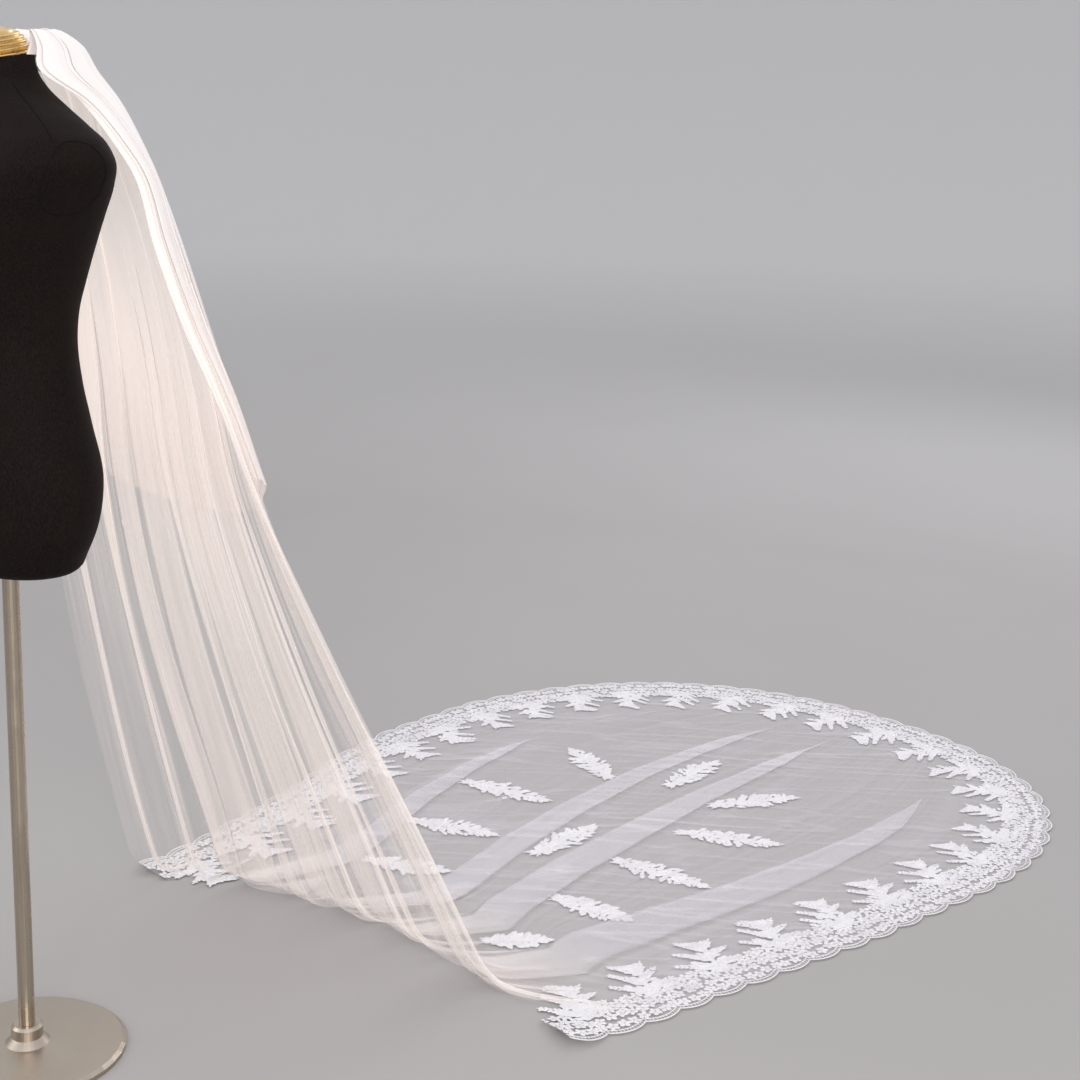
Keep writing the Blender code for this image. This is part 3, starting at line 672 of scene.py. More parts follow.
# Between these heights the veil's edges close in on the neck, and above the last they ease off
WRAP_FOOT, WRAP_TOP = 1.448, 1.476
WRAP_CREST, WRAP_CREST_BAND, WRAP_CREST_LOSS = 1.50, 0.03, 0.3
WRAP_REACH = 0.060
WRAP_ASIDE = 0.28
WRAP_ROUNDNESS = 4.0


def with_shift(table, outward=0.0, widen=0.0, wrap=WRAP_REACH):
    """Table rows with their offsets; near the comb both edges are drawn forward round it."""
    rows = []
    for height, far_x, far_y, near_x, near_y, bulge, roundness in table:
        share = float(ease((height - WRAP_FOOT) / (WRAP_TOP - WRAP_FOOT)))
        crest = float(ease((height - WRAP_CREST) / WRAP_CREST_BAND))
        close = wrap * share * (1 - WRAP_CREST_LOSS * crest)
        aside = WRAP_ASIDE * close
        far, near = (far_x - aside, far_y - close), (near_x + aside, near_y - close)
        squarer = roundness + (WRAP_ROUNDNESS - roundness) * 0.8 * share
        rows.append((height, *far, *near, bulge + close, squarer, outward, widen))
    return rows


# ---- Train's plan

CURVE_POWER = 2.0 / TRAIN_END_SQUARENESS


def train_half_width(y):
    """Centre and half width of the train, for an array of distances."""
    y = np.asarray(y, dtype=float)
    beyond = np.clip((y - TRAIN_END_CENTRE) / TRAIN_END_RADIUS, 0, 1)
    end_half = TRAIN_END_RADIUS * (1 - beyond**TRAIN_END_SQUARENESS) ** (1 / TRAIN_END_SQUARENESS)
    end_centre = TRAIN_END_SIDE + TRAIN_END_LEAN * (y - TRAIN_END_CENTRE)
    before = y <= TRAIN_END_CENTRE
    centre = np.where(before, table_reading(TRAIN_WIDTHS, y, 1), end_centre)
    return centre, np.where(before, table_reading(TRAIN_WIDTHS, y, 2), end_half)


def train_point(y, place):
    """Plan position at a distance and a signed place across; front rows follow the front edge."""
    centre, half = train_half_width(y)
    front_y = table_reading(TRAIN_FRONT, place, 1)
    bend = (front_y - TRAIN_START) * (1 - ease((y - TRAIN_START) / TRAIN_FRONT_BEND))
    return centre + place * half, y + bend


def round_end(angle):
    across = math.copysign(abs(math.cos(angle)) ** CURVE_POWER, math.cos(angle))
    along = abs(math.sin(angle)) ** CURVE_POWER
    x = TRAIN_END_SIDE + TRAIN_END_RADIUS * (across + TRAIN_END_LEAN * along)
    return x, TRAIN_END_CENTRE + TRAIN_END_RADIUS * along


EDGE_POINTS = 900
EDGE_WINDOW = 14.0  # points each side over which the edge's direction is taken


def train_outline():
    """The train's edge from the far front corner round the end to the near one, evenly spaced."""
    straight = np.linspace(TRAIN_START, TRAIN_END_CENTRE, 60)
    far = [train_point(y, np.array(-1.0)) for y in straight]
    near = [train_point(y, np.array(1.0)) for y in straight[::-1]]
    end = [round_end(math.radians(degrees)) for degrees in range(178, 1, -2)]
    points = np.array([(float(x), float(y)) for x, y in far + end + near])
    run = run_along(np.linalg.norm(np.diff(points, axis=0), axis=1))
    even = np.linspace(0, run[-1], EDGE_POINTS)
    return np.stack([np.interp(even, run, axis) for axis in points.T], axis=1), run[-1]


EDGE, EDGE_LENGTH = train_outline()
EDGE_UNITS = round(EDGE_LENGTH / LACE_UNIT)


def edge_place(distance, inward):
    """Plan points at distances along the train's edge and inward from it."""
    last = EDGE_POINTS - 1
    spot = np.clip(np.asarray(distance) / EDGE_LENGTH, 0, 1) * last
    spots = (spot, np.clip(spot - EDGE_WINDOW, 0, last), np.clip(spot + EDGE_WINDOW, 0, last))
    index = np.arange(EDGE_POINTS)
    x, y = ([np.interp(where, index, axis) for where in spots] for axis in EDGE.T)
    ahead_x, ahead_y = x[2] - x[1], y[2] - y[1]
    size = np.hypot(ahead_x, ahead_y)
    return x[0] + ahead_y / size * inward, y[0] - ahead_x / size * inward


# Where the train's two front corners curl up from the floor: x, y, reach, lift
CURLED_CORNERS = ((0.545, 0.600, 0.11, 0.026), (-0.437, 0.462, 0.09, 0.018))


def corner_lift(x, y):
    return sum(
        lift * np.clip(1 - np.hypot(x - corner_x, y - corner_y) / reach, 0, 1) ** 1.5
        for corner_x, corner_y, reach, lift in CURLED_CORNERS
    )


# ---- Long tier

HANG_ROWS = 96
FOOT_ROWS = 12
TRAIN_ROWS = 92
LAST_ROW_DEGREES = 88.5  # of the round end, so that the last row keeps some width
BASE_COLUMNS = 121
FOOT_REACH_Y = 0.80  # by here the foot of the curtain has become the train
FLOOR_LEVEL = 0.0022  # of the cloth that lies
LOWEST_LEVEL = 0.0012
LONG_TIER_WRAP = 0.6  # share of the reach round the comb that the long tier takes
FLAT_HALF = 0.016  # half width that a fold keeps where it lies flat
PLEAT_DEPTH = 0.0040
MOST_PLEAT_HALF = 0.05
PLEAT_TAPER = 0.82
LAYING_METRES = 0.30  # of cloth past the floor over which the curtain becomes the train
# Soft and fine ripples, and creases: seed, noise steps to a column and to a metre down
LONG_RIPPLES = ((1.0, 0.16, 1.6), (7.0, 0.45, 2.6), (13.0, 0.22, 7.0))
SHORT_RIPPLES = ((31.0, 0.16, 2.0), (37.0, 0.45, 3.0))
# How gathered the long tier is: metres down the cloth, share; then metres past the floor,
# share; then beyond the train's end, in metres down the cloth again
HANG_GATHER = ((0.0, 1), (0.10, 1), (0.34, 0.97), (0.54, 0.74), (0.78, 0.36), (1.10, 0.17))
FLOOR_GATHER = ((0.0, 0.12), (0.3, 0.10))
END_GATHER = (9.0, 0.08)
# How gathered the short tier is: share of its length, share
SHORT_GATHER = ((0.0, 1), (0.20, 1), (0.42, 0.95), (0.60, 0.62), (0.80, 0.36), (1.0, 0.20))


def train_rows_y():
    half = TRAIN_ROWS // 2
    straight = np.linspace(FOOT_REACH_Y, TRAIN_END_CENTRE, half, endpoint=False)
    angles = np.radians(np.linspace(0, LAST_ROW_DEGREES, TRAIN_ROWS - half))
    curved = TRAIN_END_CENTRE + TRAIN_END_RADIUS * np.sin(angles) ** CURVE_POWER
    return np.concatenate([straight, curved])


def long_tier_base():
    """The unfolded long tier as a grid: down to the floor, over its foot and along the train."""
    places = np.linspace(0, 1, BASE_COLUMNS)
    table = with_shift(HANG_SECTIONS, wrap=LONG_TIER_WRAP * WRAP_REACH)
    hang = hang_surface(smooth_rows(table, HANG_ROWS), places)
    ys = train_rows_y()
    train = [
        np.stack([*train_point(y, 2 * places - 1), np.full_like(places, FLOOR_LEVEL)], axis=-1)
        for y in ys
    ]
    foot = []
    for share in np.arange(1, FOOT_ROWS + 1) / (FOOT_ROWS + 1):
        row = between(hang[-1], train[0], share)
        row[:, 2] = FLOOR_LEVEL + (hang[-1, :, 2] - FLOOR_LEVEL) * (1 - share) ** 6
        foot.append(row)
    grid = np.concatenate([hang, foot, train])
    first, last = HANG_ROWS - 3, HANG_ROWS + 3
    for _ in range(6):
        beside = grid[first - 1 : last - 1] + grid[first + 1 : last + 1]
        grid[first:last] = 0.5 * grid[first:last] + 0.25 * beside
    return grid, ys


def pleat_reading(pleat, row_y, half_width):
    """Centre and half width of a pleat for each row, and how much of it is still folded."""
    start, middle, end, first, last, half_metres = pleat
    along = np.clip((row_y - first) / (last - first), 0, 1)
    place = (1 - along) ** 2 * start + 2 * along * (1 - along) * middle + along**2 * end
    taper = half_metres * (1 - PLEAT_TAPER * along**1.6) / half_width
    return place, np.minimum(taper, MOST_PLEAT_HALF), ease((last - row_y) / (0.22 * (last - first)))


def lay_folds_out(centre, half, depth, on_train, row_y):
    """On the train four folds run on as pleats, and the others open and lie flat between them."""
    folded = np.ones_like(centre)
    half_width = train_half_width(np.maximum(row_y, TRAIN_START))[1]
    pleated = {row[0]: row[1:] for row in TRAIN_PLEATS}
    flat_places = np.linspace(0.03, 0.97, centre.shape[1])
    blend = ease(on_train)
    for fold, flat_place in enumerate(flat_places):
        if fold in pleated:
            place, width, lies = pleat_reading(pleated[fold], row_y, half_width)
            folded[:, fold] = 1 - blend * (1 - lies)
            depth[:, fold] = between(depth[:, fold], PLEAT_DEPTH, blend)
        else:
            place, width = flat_place, FLAT_HALF
            folded[:, fold] = 1 - ease(on_train * 1.3)
        centre[:, fold] = between(centre[:, fold], place, blend)
        half[:, fold] = between(half[:, fold], width, blend)
    folds = len(flat_places)
    fixed = [-1, *sorted(pleated), folds]
    for left, right in zip(fixed, fixed[1:]):
        low = centre[:, left] + half[:, left] if left >= 0 else 0.0
        high = centre[:, right] - half[:, right] if right < folds else 1.0
        step = (high - low) / (right - left)
        for fold in range(left + 1, right):
            centre[:, fold] = between(centre[:, fold], low + step * (fold - left), blend)
            room = np.maximum(step * 0.33, 0.002)
            half[:, fold] = between(half[:, fold], np.minimum(FLAT_HALF, room), blend)
    return folded


def build_long_tier(finish):
    grid, ys = long_tier_base()
    middle = grid[:, BASE_COLUMNS // 2]
    metres = run_along(np.linalg.norm(np.diff(middle, axis=0), axis=1))
    rows, fall = len(grid), metres[HANG_ROWS - 1]
    down = np.clip(metres / fall, 0, 1)[:, None]
    shape = ease(down * 1.5)
    centre, half, depth = fold_tables(LONG_FOLDS, shape)
    depth = depth * (0.25 + 0.75 * down)
    centre = centre + wander(metres, len(LONG_FOLDS), 4.0) * shape
    lying = np.clip((metres - fall) / LAYING_METRES, 0, 1)[:, None]
    row_y = np.concatenate([np.zeros(HANG_ROWS), np.linspace(0.64, FOOT_REACH_Y, FOOT_ROWS), ys])
    folded = lay_folds_out(centre, half, depth, lying[:, 0], row_y)
    place, layer = fold_columns(centre, half, depth, folded)

    columns = place.shape[1]
    soft, fine, crease = (ripples(metres, columns, *wave) for wave in LONG_RIPPLES)
    out = layer + (1 - lying) * (0.3 + 0.7 * down) * (0.012 * soft + 0.0035 * fine)
    out += lying * (0.0030 * np.abs(crease) + 0.0022 * np.abs(soft) + 0.0010 * np.abs(fine))
    level = np.repeat(np.linspace(0, 1, rows)[:, None], columns, axis=1)
    points = cloth_points(grid, level, place, out)
    points[..., 2] = np.maximum(points[..., 2], LOWEST_LEVEL)
    points[..., 2] += corner_lift(points[..., 0], points[..., 1]) * lying

    on_floor = [(fall + past, share) for past, share in FLOOR_GATHER]
    marks = [*HANG_GATHER, *on_floor, END_GATHER]
    gather = table_reading(marks, metres, 1)[:, None] + 0.04 * soft
    gather += (0.30 * fold_cover(folded, half) - 0.13) * (1 - 0.85 * lying)
    shares = {"gather": gather, "lies": np.repeat(lying, columns, axis=1)}
    return cloth_piece("long_tier", points, finish, metres, shares)


# ---- Short tier

SHORT_ROWS = 86
SHORT_BASE_ROWS = 160
SHORT_RUN = 0.75  # metres down its middle, for the scale of its ripples


def short_tier_base():
    """The unfolded short tier, from the comb over its puff and down to below its hem."""
    falling = [row for row in HANG_SECTIONS[3:] if row[0] > 0.70]
    table = with_shift(PUFF_SECTIONS) + with_shift(falling, TIER_SPACING, SHORT_TIER_WIDER)
    return hang_surface(smooth_rows(table, SHORT_BASE_ROWS), np.linspace(0, 1, BASE_COLUMNS))


def hem_levels(grid, places):
    """Row share at which the cloth reaches its round hem, for each place across."""
    hem = SHORT_TIER_CORNER - SHORT_TIER_DROP * (1 - np.abs(2 * places - 1) ** HEM_ROUNDNESS)
    heights = grid[:, BASE_COLUMNS // 2, 2]
    rows = np.arange(int(np.argmax(heights)), len(heights))[::-1]
    return np.interp(hem, heights[rows], rows) / (len(heights) - 1)


def build_short_tier(finish):
    grid = short_tier_base()
    down = np.linspace(0, 1, SHORT_ROWS)[:, None]
    metres = down[:, 0] * SHORT_RUN
    shape = ease(down * 1.1)
    centre, half, depth = fold_tables(SHORT_FOLDS, shape)
    centre = centre + wander(metres, len(SHORT_FOLDS), 21.0) * shape
    whole = np.ones_like(centre)
    place, layer = fold_columns(centre, half, depth * (0.15 + 0.85 * shape), whole)
    columns = place.shape[1]
    soft, fine = (ripples(metres, columns, *wave) for wave in SHORT_RIPPLES)
    out = layer + (0.2 + 0.8 * shape) * (0.007 * soft + 0.003 * fine)
    level = down * hem_levels(grid, np.clip(place, 0, 1))
    points = cloth_points(grid, level, place, out)
    gather = table_reading(SHORT_GATHER, down, 1) + 0.05 * soft
    gather += (0.22 * fold_cover(whole, half) - 0.09) * shape
    lengths = SHORT_TIER_LENGTH * down[:, 0]
    return cloth_piece("short_tier_cloth", points, finish, lengths, {"gather": gather})


# ---- Lace

LOOP_SIDES = 9
PETALS = 5


def off(x, y, reach, angle):
    """The point at a reach and an angle from (x, y)."""
    return x + reach * math.cos(angle), y + reach * math.sin(angle)


class Lace:
    """Collects small worked shapes in a flat local frame and lays them on the train."""

    def __init__(self, seed):
        self.points = []
        self.faces = []
        self.finish = []
        self.random = random.Random(seed)

    def add(self, points, faces, finish=0):
        start = len(self.points)
        self.points += points
        self.faces += [tuple(start + corner for corner in face) for face in faces]
        self.finish += [finish] * len(faces)

    def strip(self, points, closed=False):
        """A strip of cord whose points come in threes: one edge, the crown, the other edge."""
        count = len(points) // 3
        faces = []
        for index in range(count if closed else count - 1):
            a, b = 3 * index, 3 * ((index + 1) % count)
            faces += [(a, b, b + 1, a + 1), (a + 1, b + 1, b + 2, a + 2)]
        self.add(points, faces)

    def lift(self):
        return self.random.uniform(0.0, 0.0007)

    def leaf(self, x, y, length, width, angle):
        """A pointed leaf from its foot at (x, y), raised along its middle."""
        lift = self.lift()
        count = 4
        left, middle, right = [], [], []
        for step in range(count + 1):
            share = step / count
            half = width / 2 * math.sin(math.pi * min(1.0, share * 0.92 + 0.06)) ** 0.8
            cx, cy = off(x, y, length * share, angle)
            sx, sy = -math.sin(angle) * half, math.cos(angle) * half
            left.append((cx + sx, cy + sy, lift))
            right.append((cx - sx, cy - sy, lift))
            middle.append((cx, cy, lift + 0.0004 + width * 0.10 * math.sin(math.pi * share)))
        row = count + 1
        corners = (*range(count), *range(row, row + count))
        faces = [(a, a + row, a + row + 1, a + 1) for a in corners]
        self.add(left + middle + right, faces)

    def blossom(self, x, y, radius):
        """A flower of round petals about a small raised eye, turned at random."""
        angle = self.random.uniform(0, 1.3)
        for petal in range(PETALS):
            turn = angle + math.tau * petal / PETALS
            self.leaf(*off(x, y, 0.22 * radius, turn), radius * 0.82, radius * 0.74, turn)
        self.loop(x, y, radius * 0.24, radius * 0.2)

    def loop(self, x, y, radius, width):
        """A small ring of cord."""
        lift = self.lift() + 0.0003
        rim = width / 2
        profile = ((radius - rim, lift), (radius, lift + rim), (radius + rim, lift))
        turns = [math.tau * step / LOOP_SIDES for step in range(LOOP_SIDES)]
        self.strip([(*off(x, y, reach, turn), z) for turn in turns for reach, z in profile], True)

    def cord(self, path, width, lift=0.0005):
        """A raised cord along a path of (x, y) points."""
        points = []
        for index, (x, y) in enumerate(path):
            ahead, behind = path[min(index + 1, len(path) - 1)], path[max(index - 1, 0)]
            dx, dy = ahead[0] - behind[0], ahead[1] - behind[1]
            size = math.hypot(dx, dy) or 1.0
            sx, sy = -dy / size * width / 2, dx / size * width / 2
            points += [(x + sx, y + sy, lift), (x, y, lift + 0.45 * width), (x - sx, y - sy, lift)]
        self.strip(points)


def lay(lace, name, to_plan, finishes):
    """Makes a lace object, its local points carried to the floor by to_plan."""
    points = np.array(lace.points)
    x, y = to_plan(points[:, 0], points[:, 1])
    placed = np.stack([x, y, LACE_LEVEL + points[:, 2] + corner_lift(x, y)], axis=-1)
    return make_piece(name, placed, lace.faces, finishes, points[:, :2], None, lace.finish)


def scallop(distance):
    """How far the border's edge stands out from the train's edge."""
    turn = math.pi * SCALLOPS_PER_UNIT * distance / LACE_UNIT
    return SCALLOP_DEPTH * abs(math.sin(turn)) ** 0.8


def cluster(lace, x, y, heading, stations, half_widths, step, lobe):
    """A close, ragged cluster: lobes side by side outward from a spine, with slits between."""
    rnd = lace.random
    for station in range(stations):
        share = station / (stations - 1)
        half = np.interp(share, np.linspace(0, 1, len(half_widths)), half_widths)
        spot = off(x, y, station * step, heading)
        lace.leaf(*spot, lobe * 1.25, lobe * 0.80, heading + rnd.uniform(-0.3, 0.3))
        for side in (-1, 1):
            lean = heading + side * rnd.uniform(0.85, 1.25)
            reach = 0.0
            while reach < half * rnd.uniform(0.72, 1.02):
                size = lobe * rnd.uniform(0.85, 1.2)
                if rnd.random() > 0.08:
                    turn = lean + rnd.uniform(-0.55, 0.30) * side
                    width = size * rnd.uniform(0.52, 0.72)
                    lace.leaf(*off(*spot, reach, lean), size, width, turn)
                reach += lobe * 0.60


def branch(lace, x, y, length, heading, lobe):
    """A stubby branch of paired lobes that ends in a point."""
    count = max(2, round(length / (lobe * 0.52)))
    for share in (index / count for index in range(count)):
        size = lobe * (1.0 - 0.45 * share)
        for side in (-1, 1):
            lean = heading + side * lace.random.uniform(0.45, 0.85)
            lace.leaf(*off(x, y, length * share, heading), size, size * 0.70, lean)
    lace.leaf(*off(x, y, length * 0.85, heading), lobe * 0.9, lobe * 0.36, heading)


EDGE_STEPS = 28
EDGE_BARS = 24
# Rows of flowers of the border: distance in from the train's edge
FLOWER_ROWS = (0.0205, 0.0395, 0.0585, 0.0770)
FLOWERS_PER_ROW = 7
# The border's slanting spray: its trunk's foot, turn and shape, then each branch's
# distance up the trunk, length, and lean from it in degrees
TRUNK_FOOT = (0.56, 0.056)
TRUNK_TURN = math.radians(112)
TRUNK_HALF_WIDTHS = (0.052, 0.042, 0.024, 0.014, 0.009, 0.006)
TRUNK_BRANCHES = (
    (0.016, 0.074, -70),
    (0.046, 0.068, -62),
    (0.078, 0.058, -58),
    (0.100, 0.044, -74),
    (0.026, 0.058, 64),
    (0.062, 0.042, 52),
    (0.090, 0.026, 30),
)


def border_unit(lace, start):
    """One repeat of the border: two scallops, a flowered band and a slanting spray."""
    unit = LACE_UNIT
    rnd = lace.random
    runs = [unit * step / EDGE_STEPS for step in range(EDGE_STEPS + 1)]
    for setback, width in ((0.0012, 0.0030), (0.0100, 0.0024)):
        lace.cord([(start + a, setback - scallop(a)) for a in runs], width)
    for a in (unit * (bar + 0.5) / EDGE_BARS for bar in range(EDGE_BARS)):
        edge = -scallop(a)
        lean = rnd.uniform(-0.001, 0.001)
        lace.cord([(start + a, edge + 0.002), (start + a + lean, edge + 0.0094)], 0.0016, 0.0003)
    for row, reach in enumerate(FLOWER_ROWS):
        for column in range(FLOWERS_PER_ROW):
            a = unit * (column + 0.5 * (row % 2) + 0.5) / FLOWERS_PER_ROW
            a += rnd.uniform(-0.003, 0.003)
            b = reach + rnd.uniform(-0.003, 0.003) - 0.5 * scallop(a) * (row == 0)
            if b <= 0.074 + 0.026 * math.sin(math.pi * ((a / unit + 0.35) % 1.0)):
                lace.blossom(start + a, b, rnd.uniform(0.0112, 0.0130))
    foot = (start + unit * TRUNK_FOOT[0], TRUNK_FOOT[1])
    cluster(lace, *foot, TRUNK_TURN, 9, TRUNK_HALF_WIDTHS, 0.0120, 0.0155)
    for reach, length, lean in TRUNK_BRANCHES:
        heading = TRUNK_TURN + math.radians(lean) + rnd.uniform(-0.14, 0.14)
        branch(lace, *off(*foot, reach, TRUNK_TURN), length, heading, 0.0150)


def border_ground(lace, first, last):
    """The net under the border, out to its scallops."""
    steps = int((last - first) / 0.006)
    reaches = (0.0, 0.25, 0.5, 0.75, 1.0)
    points = []
    for step in range(steps + 1):
        a = first + (last - first) * step / steps
        outer = -scallop(a)
        inner = 0.074 + 0.012 * math.sin(math.tau * a / LACE_UNIT)
        points += [(a, outer + (inner - outer) * share, -0.0004) for share in reaches]
    width = len(reaches)
    corners = [step * width + column for step in range(steps) for column in range(width - 1)]
    lace.add(points, [(a, a + width, a + width + 1, a + 1) for a in corners], 1)


def build_borders(thread, ground):
    pieces = []
    starts = [round(EDGE_UNITS * index / len(BORDERS)) for index in range(len(BORDERS) + 1)]
    stretch = EDGE_LENGTH / (EDGE_UNITS * LACE_UNIT)
    for number, (node, first, last) in enumerate(zip(BORDERS, starts, starts[1:])):
        lace = Lace(100 + number)
        border_ground(lace, first * LACE_UNIT, last * LACE_UNIT)
        for unit in range(first, last):
            border_unit(lace, unit * LACE_UNIT)
        to_plan = lambda a, b: edge_place(a * stretch, b)
        piece = lay(lace, node + "_lace", to_plan, [thread, ground])
        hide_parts(node)
        pieces.append(piece)
    return pieces


# Shares of a spray's width along its spine, and places of its flowers as shares of its size
SPRAY_HALF_WIDTHS = (0.20, 0.36, 0.46, 0.50, 0.44, 0.34, 0.22, 0.10)
SPRAY_FLOWERS = ((-0.22, 0.16), (-0.04, -0.14), (0.12, 0.12), (-0.30, -0.10))
SPRAY_STATIONS = 19


def build_sprays(thread):
    """Each spray is drawn afresh: close lobes about a spine, a forked foot and a pointed tip."""
    pieces = []
    for number, (node, centre_x, centre_y, length, width, degrees) in enumerate(SPRAYS):
        lace = Lace(300 + number)
        rnd = lace.random
        halves = [width * half * 0.86 for half in SPRAY_HALF_WIDTHS]
        step = 0.80 * length / (SPRAY_STATIONS - 1)
        cluster(lace, -0.40 * length, 0.0, 0.0, SPRAY_STATIONS, halves, step, 0.0165)
        branch(lace, 0.34 * length, 0.0, 0.15 * length, rnd.uniform(-0.2, 0.2), 0.0150)
        for lean in (150, 185, 215):
            turn = math.radians(lean + rnd.uniform(-8, 8))
            branch(lace, -0.38 * length, 0.0, rnd.uniform(0.08, 0.12) * length, turn, 0.0135)
        for along, across in SPRAY_FLOWERS:
            lace.blossom(along * length, across * width, 0.0120)
        c, s = math.cos(math.radians(degrees)), math.sin(math.radians(degrees))
        to_plan = lambda a, b: (centre_x + a * c - b * s, centre_y + a * s + b * c)
        piece = lay(lace, node + "_lace", to_plan, [thread])
        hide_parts(node)
        pieces.append(piece)
    return pieces


# ---- Dress form

TORSO_ROWS = 120
TORSO_SIDES = 96
SEAM_LIFT = 0.0002
SEAM_RADIUS = 0.0008
SEAM_SIDES = 6


def torso_point(height, half_width, front, back, squareness, angle):
    across, along = math.cos(angle), math.sin(angle)
    power = 2.0 / squareness
    x = half_width * math.copysign(abs(across) ** power, across)
    y = (back if along > 0 else front) * math.copysign(abs(along) ** power, along)
    lean = float(ease((height - NECK_FOOT) / (NECK_TOP - NECK_FOOT))) * math.tan(NECK_TILT)
    return x, y, height + lean * y


def torso_ring(section, share=1.0):
    row = [*section[:1], *(share * reach for reach in section[1:4]), section[4]]
    return [torso_point(*row, math.tau * side / TORSO_SIDES) for side in range(TORSO_SIDES)]


def torso_sections():
    table = np.array(TORSO_SECTIONS)
    run = run_along(np.hypot(np.diff(table[:, 0]), np.diff(table[:, 1])))
    slopes = np.gradient(table, run, axis=0)
    low, share = even_places(run, TORSO_ROWS)
    span = (run[low + 1] - run[low])[:, None]
    return hermite(table[low], table[low + 1], span * slopes[low], span * slopes[low + 1], share)


TORSO_TABLE = torso_sections()


def build_torso(finish):
    """The padded torso, closed under its hem."""
    rings = [torso_ring(TORSO_TABLE[0], share) for share in (0.02, 0.5, 0.9)]
    rings += [torso_ring(row) for row in TORSO_TABLE] + [torso_ring(TORSO_TABLE[-1], 0.6)]
    faces = grid_faces(len(rings), TORSO_SIDES, True)
    piece = make_piece("torso_jersey", rings, faces, [finish])
    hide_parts("dress_form_torso")
    return piece


def on_torso(height, angle):
    """A point on the torso's surface and a little outside it."""
    half_width, front, back, squareness = (
        table_reading(TORSO_TABLE, height, column) for column in range(1, 5)
    )
    reaches = (half_width + SEAM_LIFT, front + SEAM_LIFT, back + SEAM_LIFT)
    return Vector(torso_point(height, *reaches, squareness, angle))


def seam_lines():
    """The cover's seams: centre back and front, princess lines, arm plates and shoulders."""
    heights = np.linspace(0.800, 1.500, 60)
    lines = [[on_torso(h, math.radians(degrees)) for h in heights] for degrees in (90, 270)]
    for side in (-1, 1):
        princess = []
        for h in np.linspace(0.800, 1.385, 50):
            spread = math.radians(52 - 14 * math.exp(-(((h - 1.12) / 0.14) ** 2)))
            princess.append(on_torso(h, -math.pi / 2 + side * spread * 0.62))
        centre = 0.0 if side > 0 else math.pi
        turns = [math.tau * step / 32 for step in range(33)]
        plate = [on_torso(1.356 + 0.050 * math.sin(t), centre + 0.30 * math.cos(t)) for t in turns]
        shoulder = [on_torso(h, centre - side * 0.22) for h in np.linspace(1.478, 1.407, 16)]
        lines += [princess, plate, shoulder]
    return lines


def build_seams(finish):
    points, faces = [], []
    for line in seam_lines():
        ring = np.arange(SEAM_SIDES * len(line)).reshape(-1, SEAM_SIDES) + len(points)
        for index, spot in enumerate(line):
            ahead = (line[min(index + 1, len(line) - 1)] - line[max(index - 1, 0)]).normalized()
            side = ahead.cross(Vector((0, 0, 1)))
            side = side.normalized() if side.length > 1e-4 else Vector((1, 0, 0))
            up = side.cross(ahead)
            for turn in (math.tau * corner / SEAM_SIDES for corner in range(SEAM_SIDES)):
                points.append(spot + (side * math.cos(turn) + up * math.sin(turn)) * SEAM_RADIUS)
        faces += (grid_faces(len(line), SEAM_SIDES, True) + ring[0, 0]).tolist()
    return make_piece("torso_seams", points, faces, [finish])


CAP_RINGS = 6
CAP_ROWS, CAP_SIDES = 92, 72
CAP_RING_RISE = 0.0012


def build_cap(finish):
    """The turned cap of the neck: rounded rings, one above another, up to a small button."""
    neck, tilt = Vector((0, 0, NECK_TOP)), Quaternion((1, 0, 0), NECK_TILT)
    points = []
    for share in (row / CAP_ROWS for row in range(CAP_ROWS + 1)):
        ripple = abs(math.sin(math.pi * CAP_RINGS * share))
        radius = CAP_RADIUS * (1 - share**2.3) ** 0.62
        radius = max(radius * (0.93 + 0.07 * ripple), 0.0004)
        height = CAP_BASE + min(CAP_HEIGHT * share**0.86 + CAP_RING_RISE * ripple, CAP_HEIGHT)
        for turn in (math.tau * side / CAP_SIDES for side in range(CAP_SIDES)):
            points.append(neck + tilt @ Vector((*off(0, 0, radius, turn), height)))
    piece = make_piece("cap_turned", points, grid_faces(CAP_ROWS + 1, CAP_SIDES, True), [finish])
    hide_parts("neck_cap")
    return piece


# ---- Studio

CAMERA_PLACE = (2.373, -1.237, 1.5)
CAMERA_AZIMUTH = math.radians(45.6)
CAMERA_PITCH = math.radians(11.114)
CAMERA_ROLL = math.radians(1.2)


def link_object(name, data, place, aim, roll=0.0):
    """Links a camera or light at a place, looking along aim."""
    made = bpy.data.objects.new(name, data)
    bpy.context.collection.objects.link(made)
    made.location = place
    made.rotation_mode = "QUATERNION"
    made.rotation_quaternion = aim.to_track_quat("-Z", "Y") @ Quaternion((0, 0, 1), roll)
    return made


def build_camera():
    data = bpy.data.cameras.new("camera")
    data.lens = 60
    data.sensor_width = 36
    data.shift_y = -0.1
    data.clip_end = 100
    level = math.cos(CAMERA_PITCH)
    east, north = -math.sin(CAMERA_AZIMUTH) * level, math.cos(CAMERA_AZIMUTH) * level
    aim = Vector((east, north, -math.sin(CAMERA_PITCH)))
    bpy.context.scene.camera = link_object("camera", data, CAMERA_PLACE, aim, CAMERA_ROLL)


WARM_LIGHT, COOL_LIGHT = (1.0, 0.97, 0.94), (0.92, 0.95, 1.0)
# Soft boxes: name, place, what it faces, size, power, colour
SOFT_BOXES = (
    ("key", (3.5, -1.7, 2.2), (0.0, 0.3, 0.9), 2.8, 138, WARM_LIGHT),
    ("side", (-2.6, -2.4, 3.2), (0.0, 0.2, 0.9), 3.0, 45, WARM_LIGHT),
    ("rim", (-1.2, 5.2, 3.4), (0.0, 0.9, 0.5), 3.0, 70, COOL_LIGHT),
)
BACKDROP_RADIUS = 17.0
BACKDROP_CURVE = 6.0
BACKDROP_HEIGHT = 7.0
BACKDROP_SIDES = 96


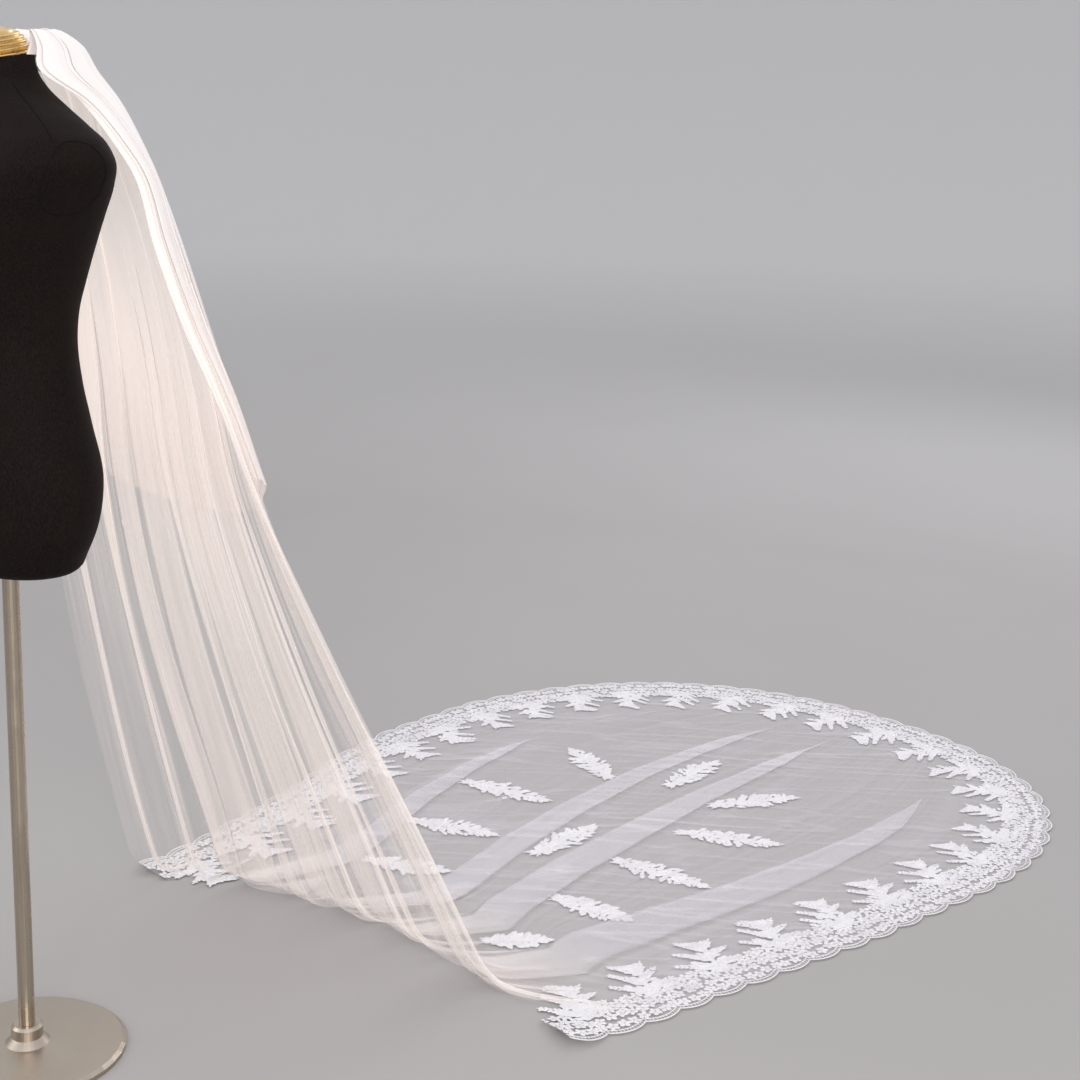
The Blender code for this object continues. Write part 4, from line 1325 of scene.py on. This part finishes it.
def build_studio(finish):
    """A flat floor that curves up, far from the part, into a plain round backdrop."""
    profile = [(0.02, 0.0), (3.0, 0.0), (6.0, 0.0), (BACKDROP_RADIUS - BACKDROP_CURVE, 0.0)]
    for turn in (math.pi / 2 * step / 12 for step in range(1, 13)):
        reach = BACKDROP_RADIUS - BACKDROP_CURVE * (1 - math.sin(turn))
        profile.append((reach, BACKDROP_CURVE * (1 - math.cos(turn))))
    profile.append((BACKDROP_RADIUS, BACKDROP_HEIGHT))
    turns = [math.tau * side / BACKDROP_SIDES for side in range(BACKDROP_SIDES)]
    points = [(*off(0, 0, reach, turn), z) for reach, z in profile for turn in turns]
    faces = [tuple(range(BACKDROP_SIDES))]
    faces += grid_faces(len(profile), BACKDROP_SIDES, True).tolist()
    floor = make_piece("studio_floor", points, faces, [finish])
    for name, place, target, size, power, colour in SOFT_BOXES:
        data = bpy.data.lights.new(name, "AREA")
        data.shape, data.size, data.energy, data.color = "SQUARE", size, power, colour
        link_object(name, data, place, Vector(target) - Vector(place))
    world = bpy.data.worlds.new("studio")
    world.use_nodes = True
    background = world.node_tree.nodes["Background"]
    background.inputs["Color"].default_value = (0.93, 0.94, 0.97, 1)
    background.inputs["Strength"].default_value = 0.95
    scene = bpy.context.scene
    scene.world = world
    scene.view_settings.view_transform = "Standard"
    scene.cycles.transparent_max_bounces = 24
    scene.cycles.max_bounces = 6
    scene.cycles.diffuse_bounces = scene.cycles.glossy_bounces = 3


# ---- Assembly

# The colour of tulle where it thins is partly its ivory and partly painted warm light from below.
IVORY_WITH_PAINTED_WARMTH, LILAC = (0.90, 0.82, 0.78), (0.70, 0.67, 0.73)  # tulle where it thins, and on the floor


def main():
    build_camera()
    build_studio(floor_material())
    # the first colour of each net, where it is gathered, is darkened against its painted glow
    # the last number of each net is the strength of its painted glow where it is most gathered
    long_net = tulle_material("tulle_long", (0.68, 0.62, 0.59), IVORY_WITH_PAINTED_WARMTH, LILAC, 0.11, 0.98, 0.46)
    short_net = tulle_material("tulle_short", (0.70, 0.66, 0.65), IVORY_WITH_PAINTED_WARMTH, LILAC, 0.15, 0.99, 0.15)
    gilt, thread, ground = gold_material(), lace_material(), lace_ground_material()

    long_tier = build_long_tier(long_net)
    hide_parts("long_tier_hang", "long_tier_train")
    short_tier = build_short_tier(short_net)
    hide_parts("short_tier")
    borders = build_borders(thread, ground)
    sprays = build_sprays(thread)
    torso = build_torso(jersey_material())
    seams = build_seams(seam_material())
    cap = build_cap(gilt)
    # the CAD nodes that stay get their finished materials
    finishes = {
        "neck_ring": gilt,
        "stand_pole": pole_material(),
        "stand_base": base_material(),
        "comb": comb_material(),
        "gathering_band": band_material(),
    }
    for node, finish in finishes.items():
        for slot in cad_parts[node].material_slots:
            slot.material = finish

    for piece in (long_tier, short_tier):
        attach(piece, "root")
    for piece in borders + sprays:
        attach(piece, "root")
    for piece in (torso, seams):
        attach(piece, "root")
    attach(cap, "root")


main()
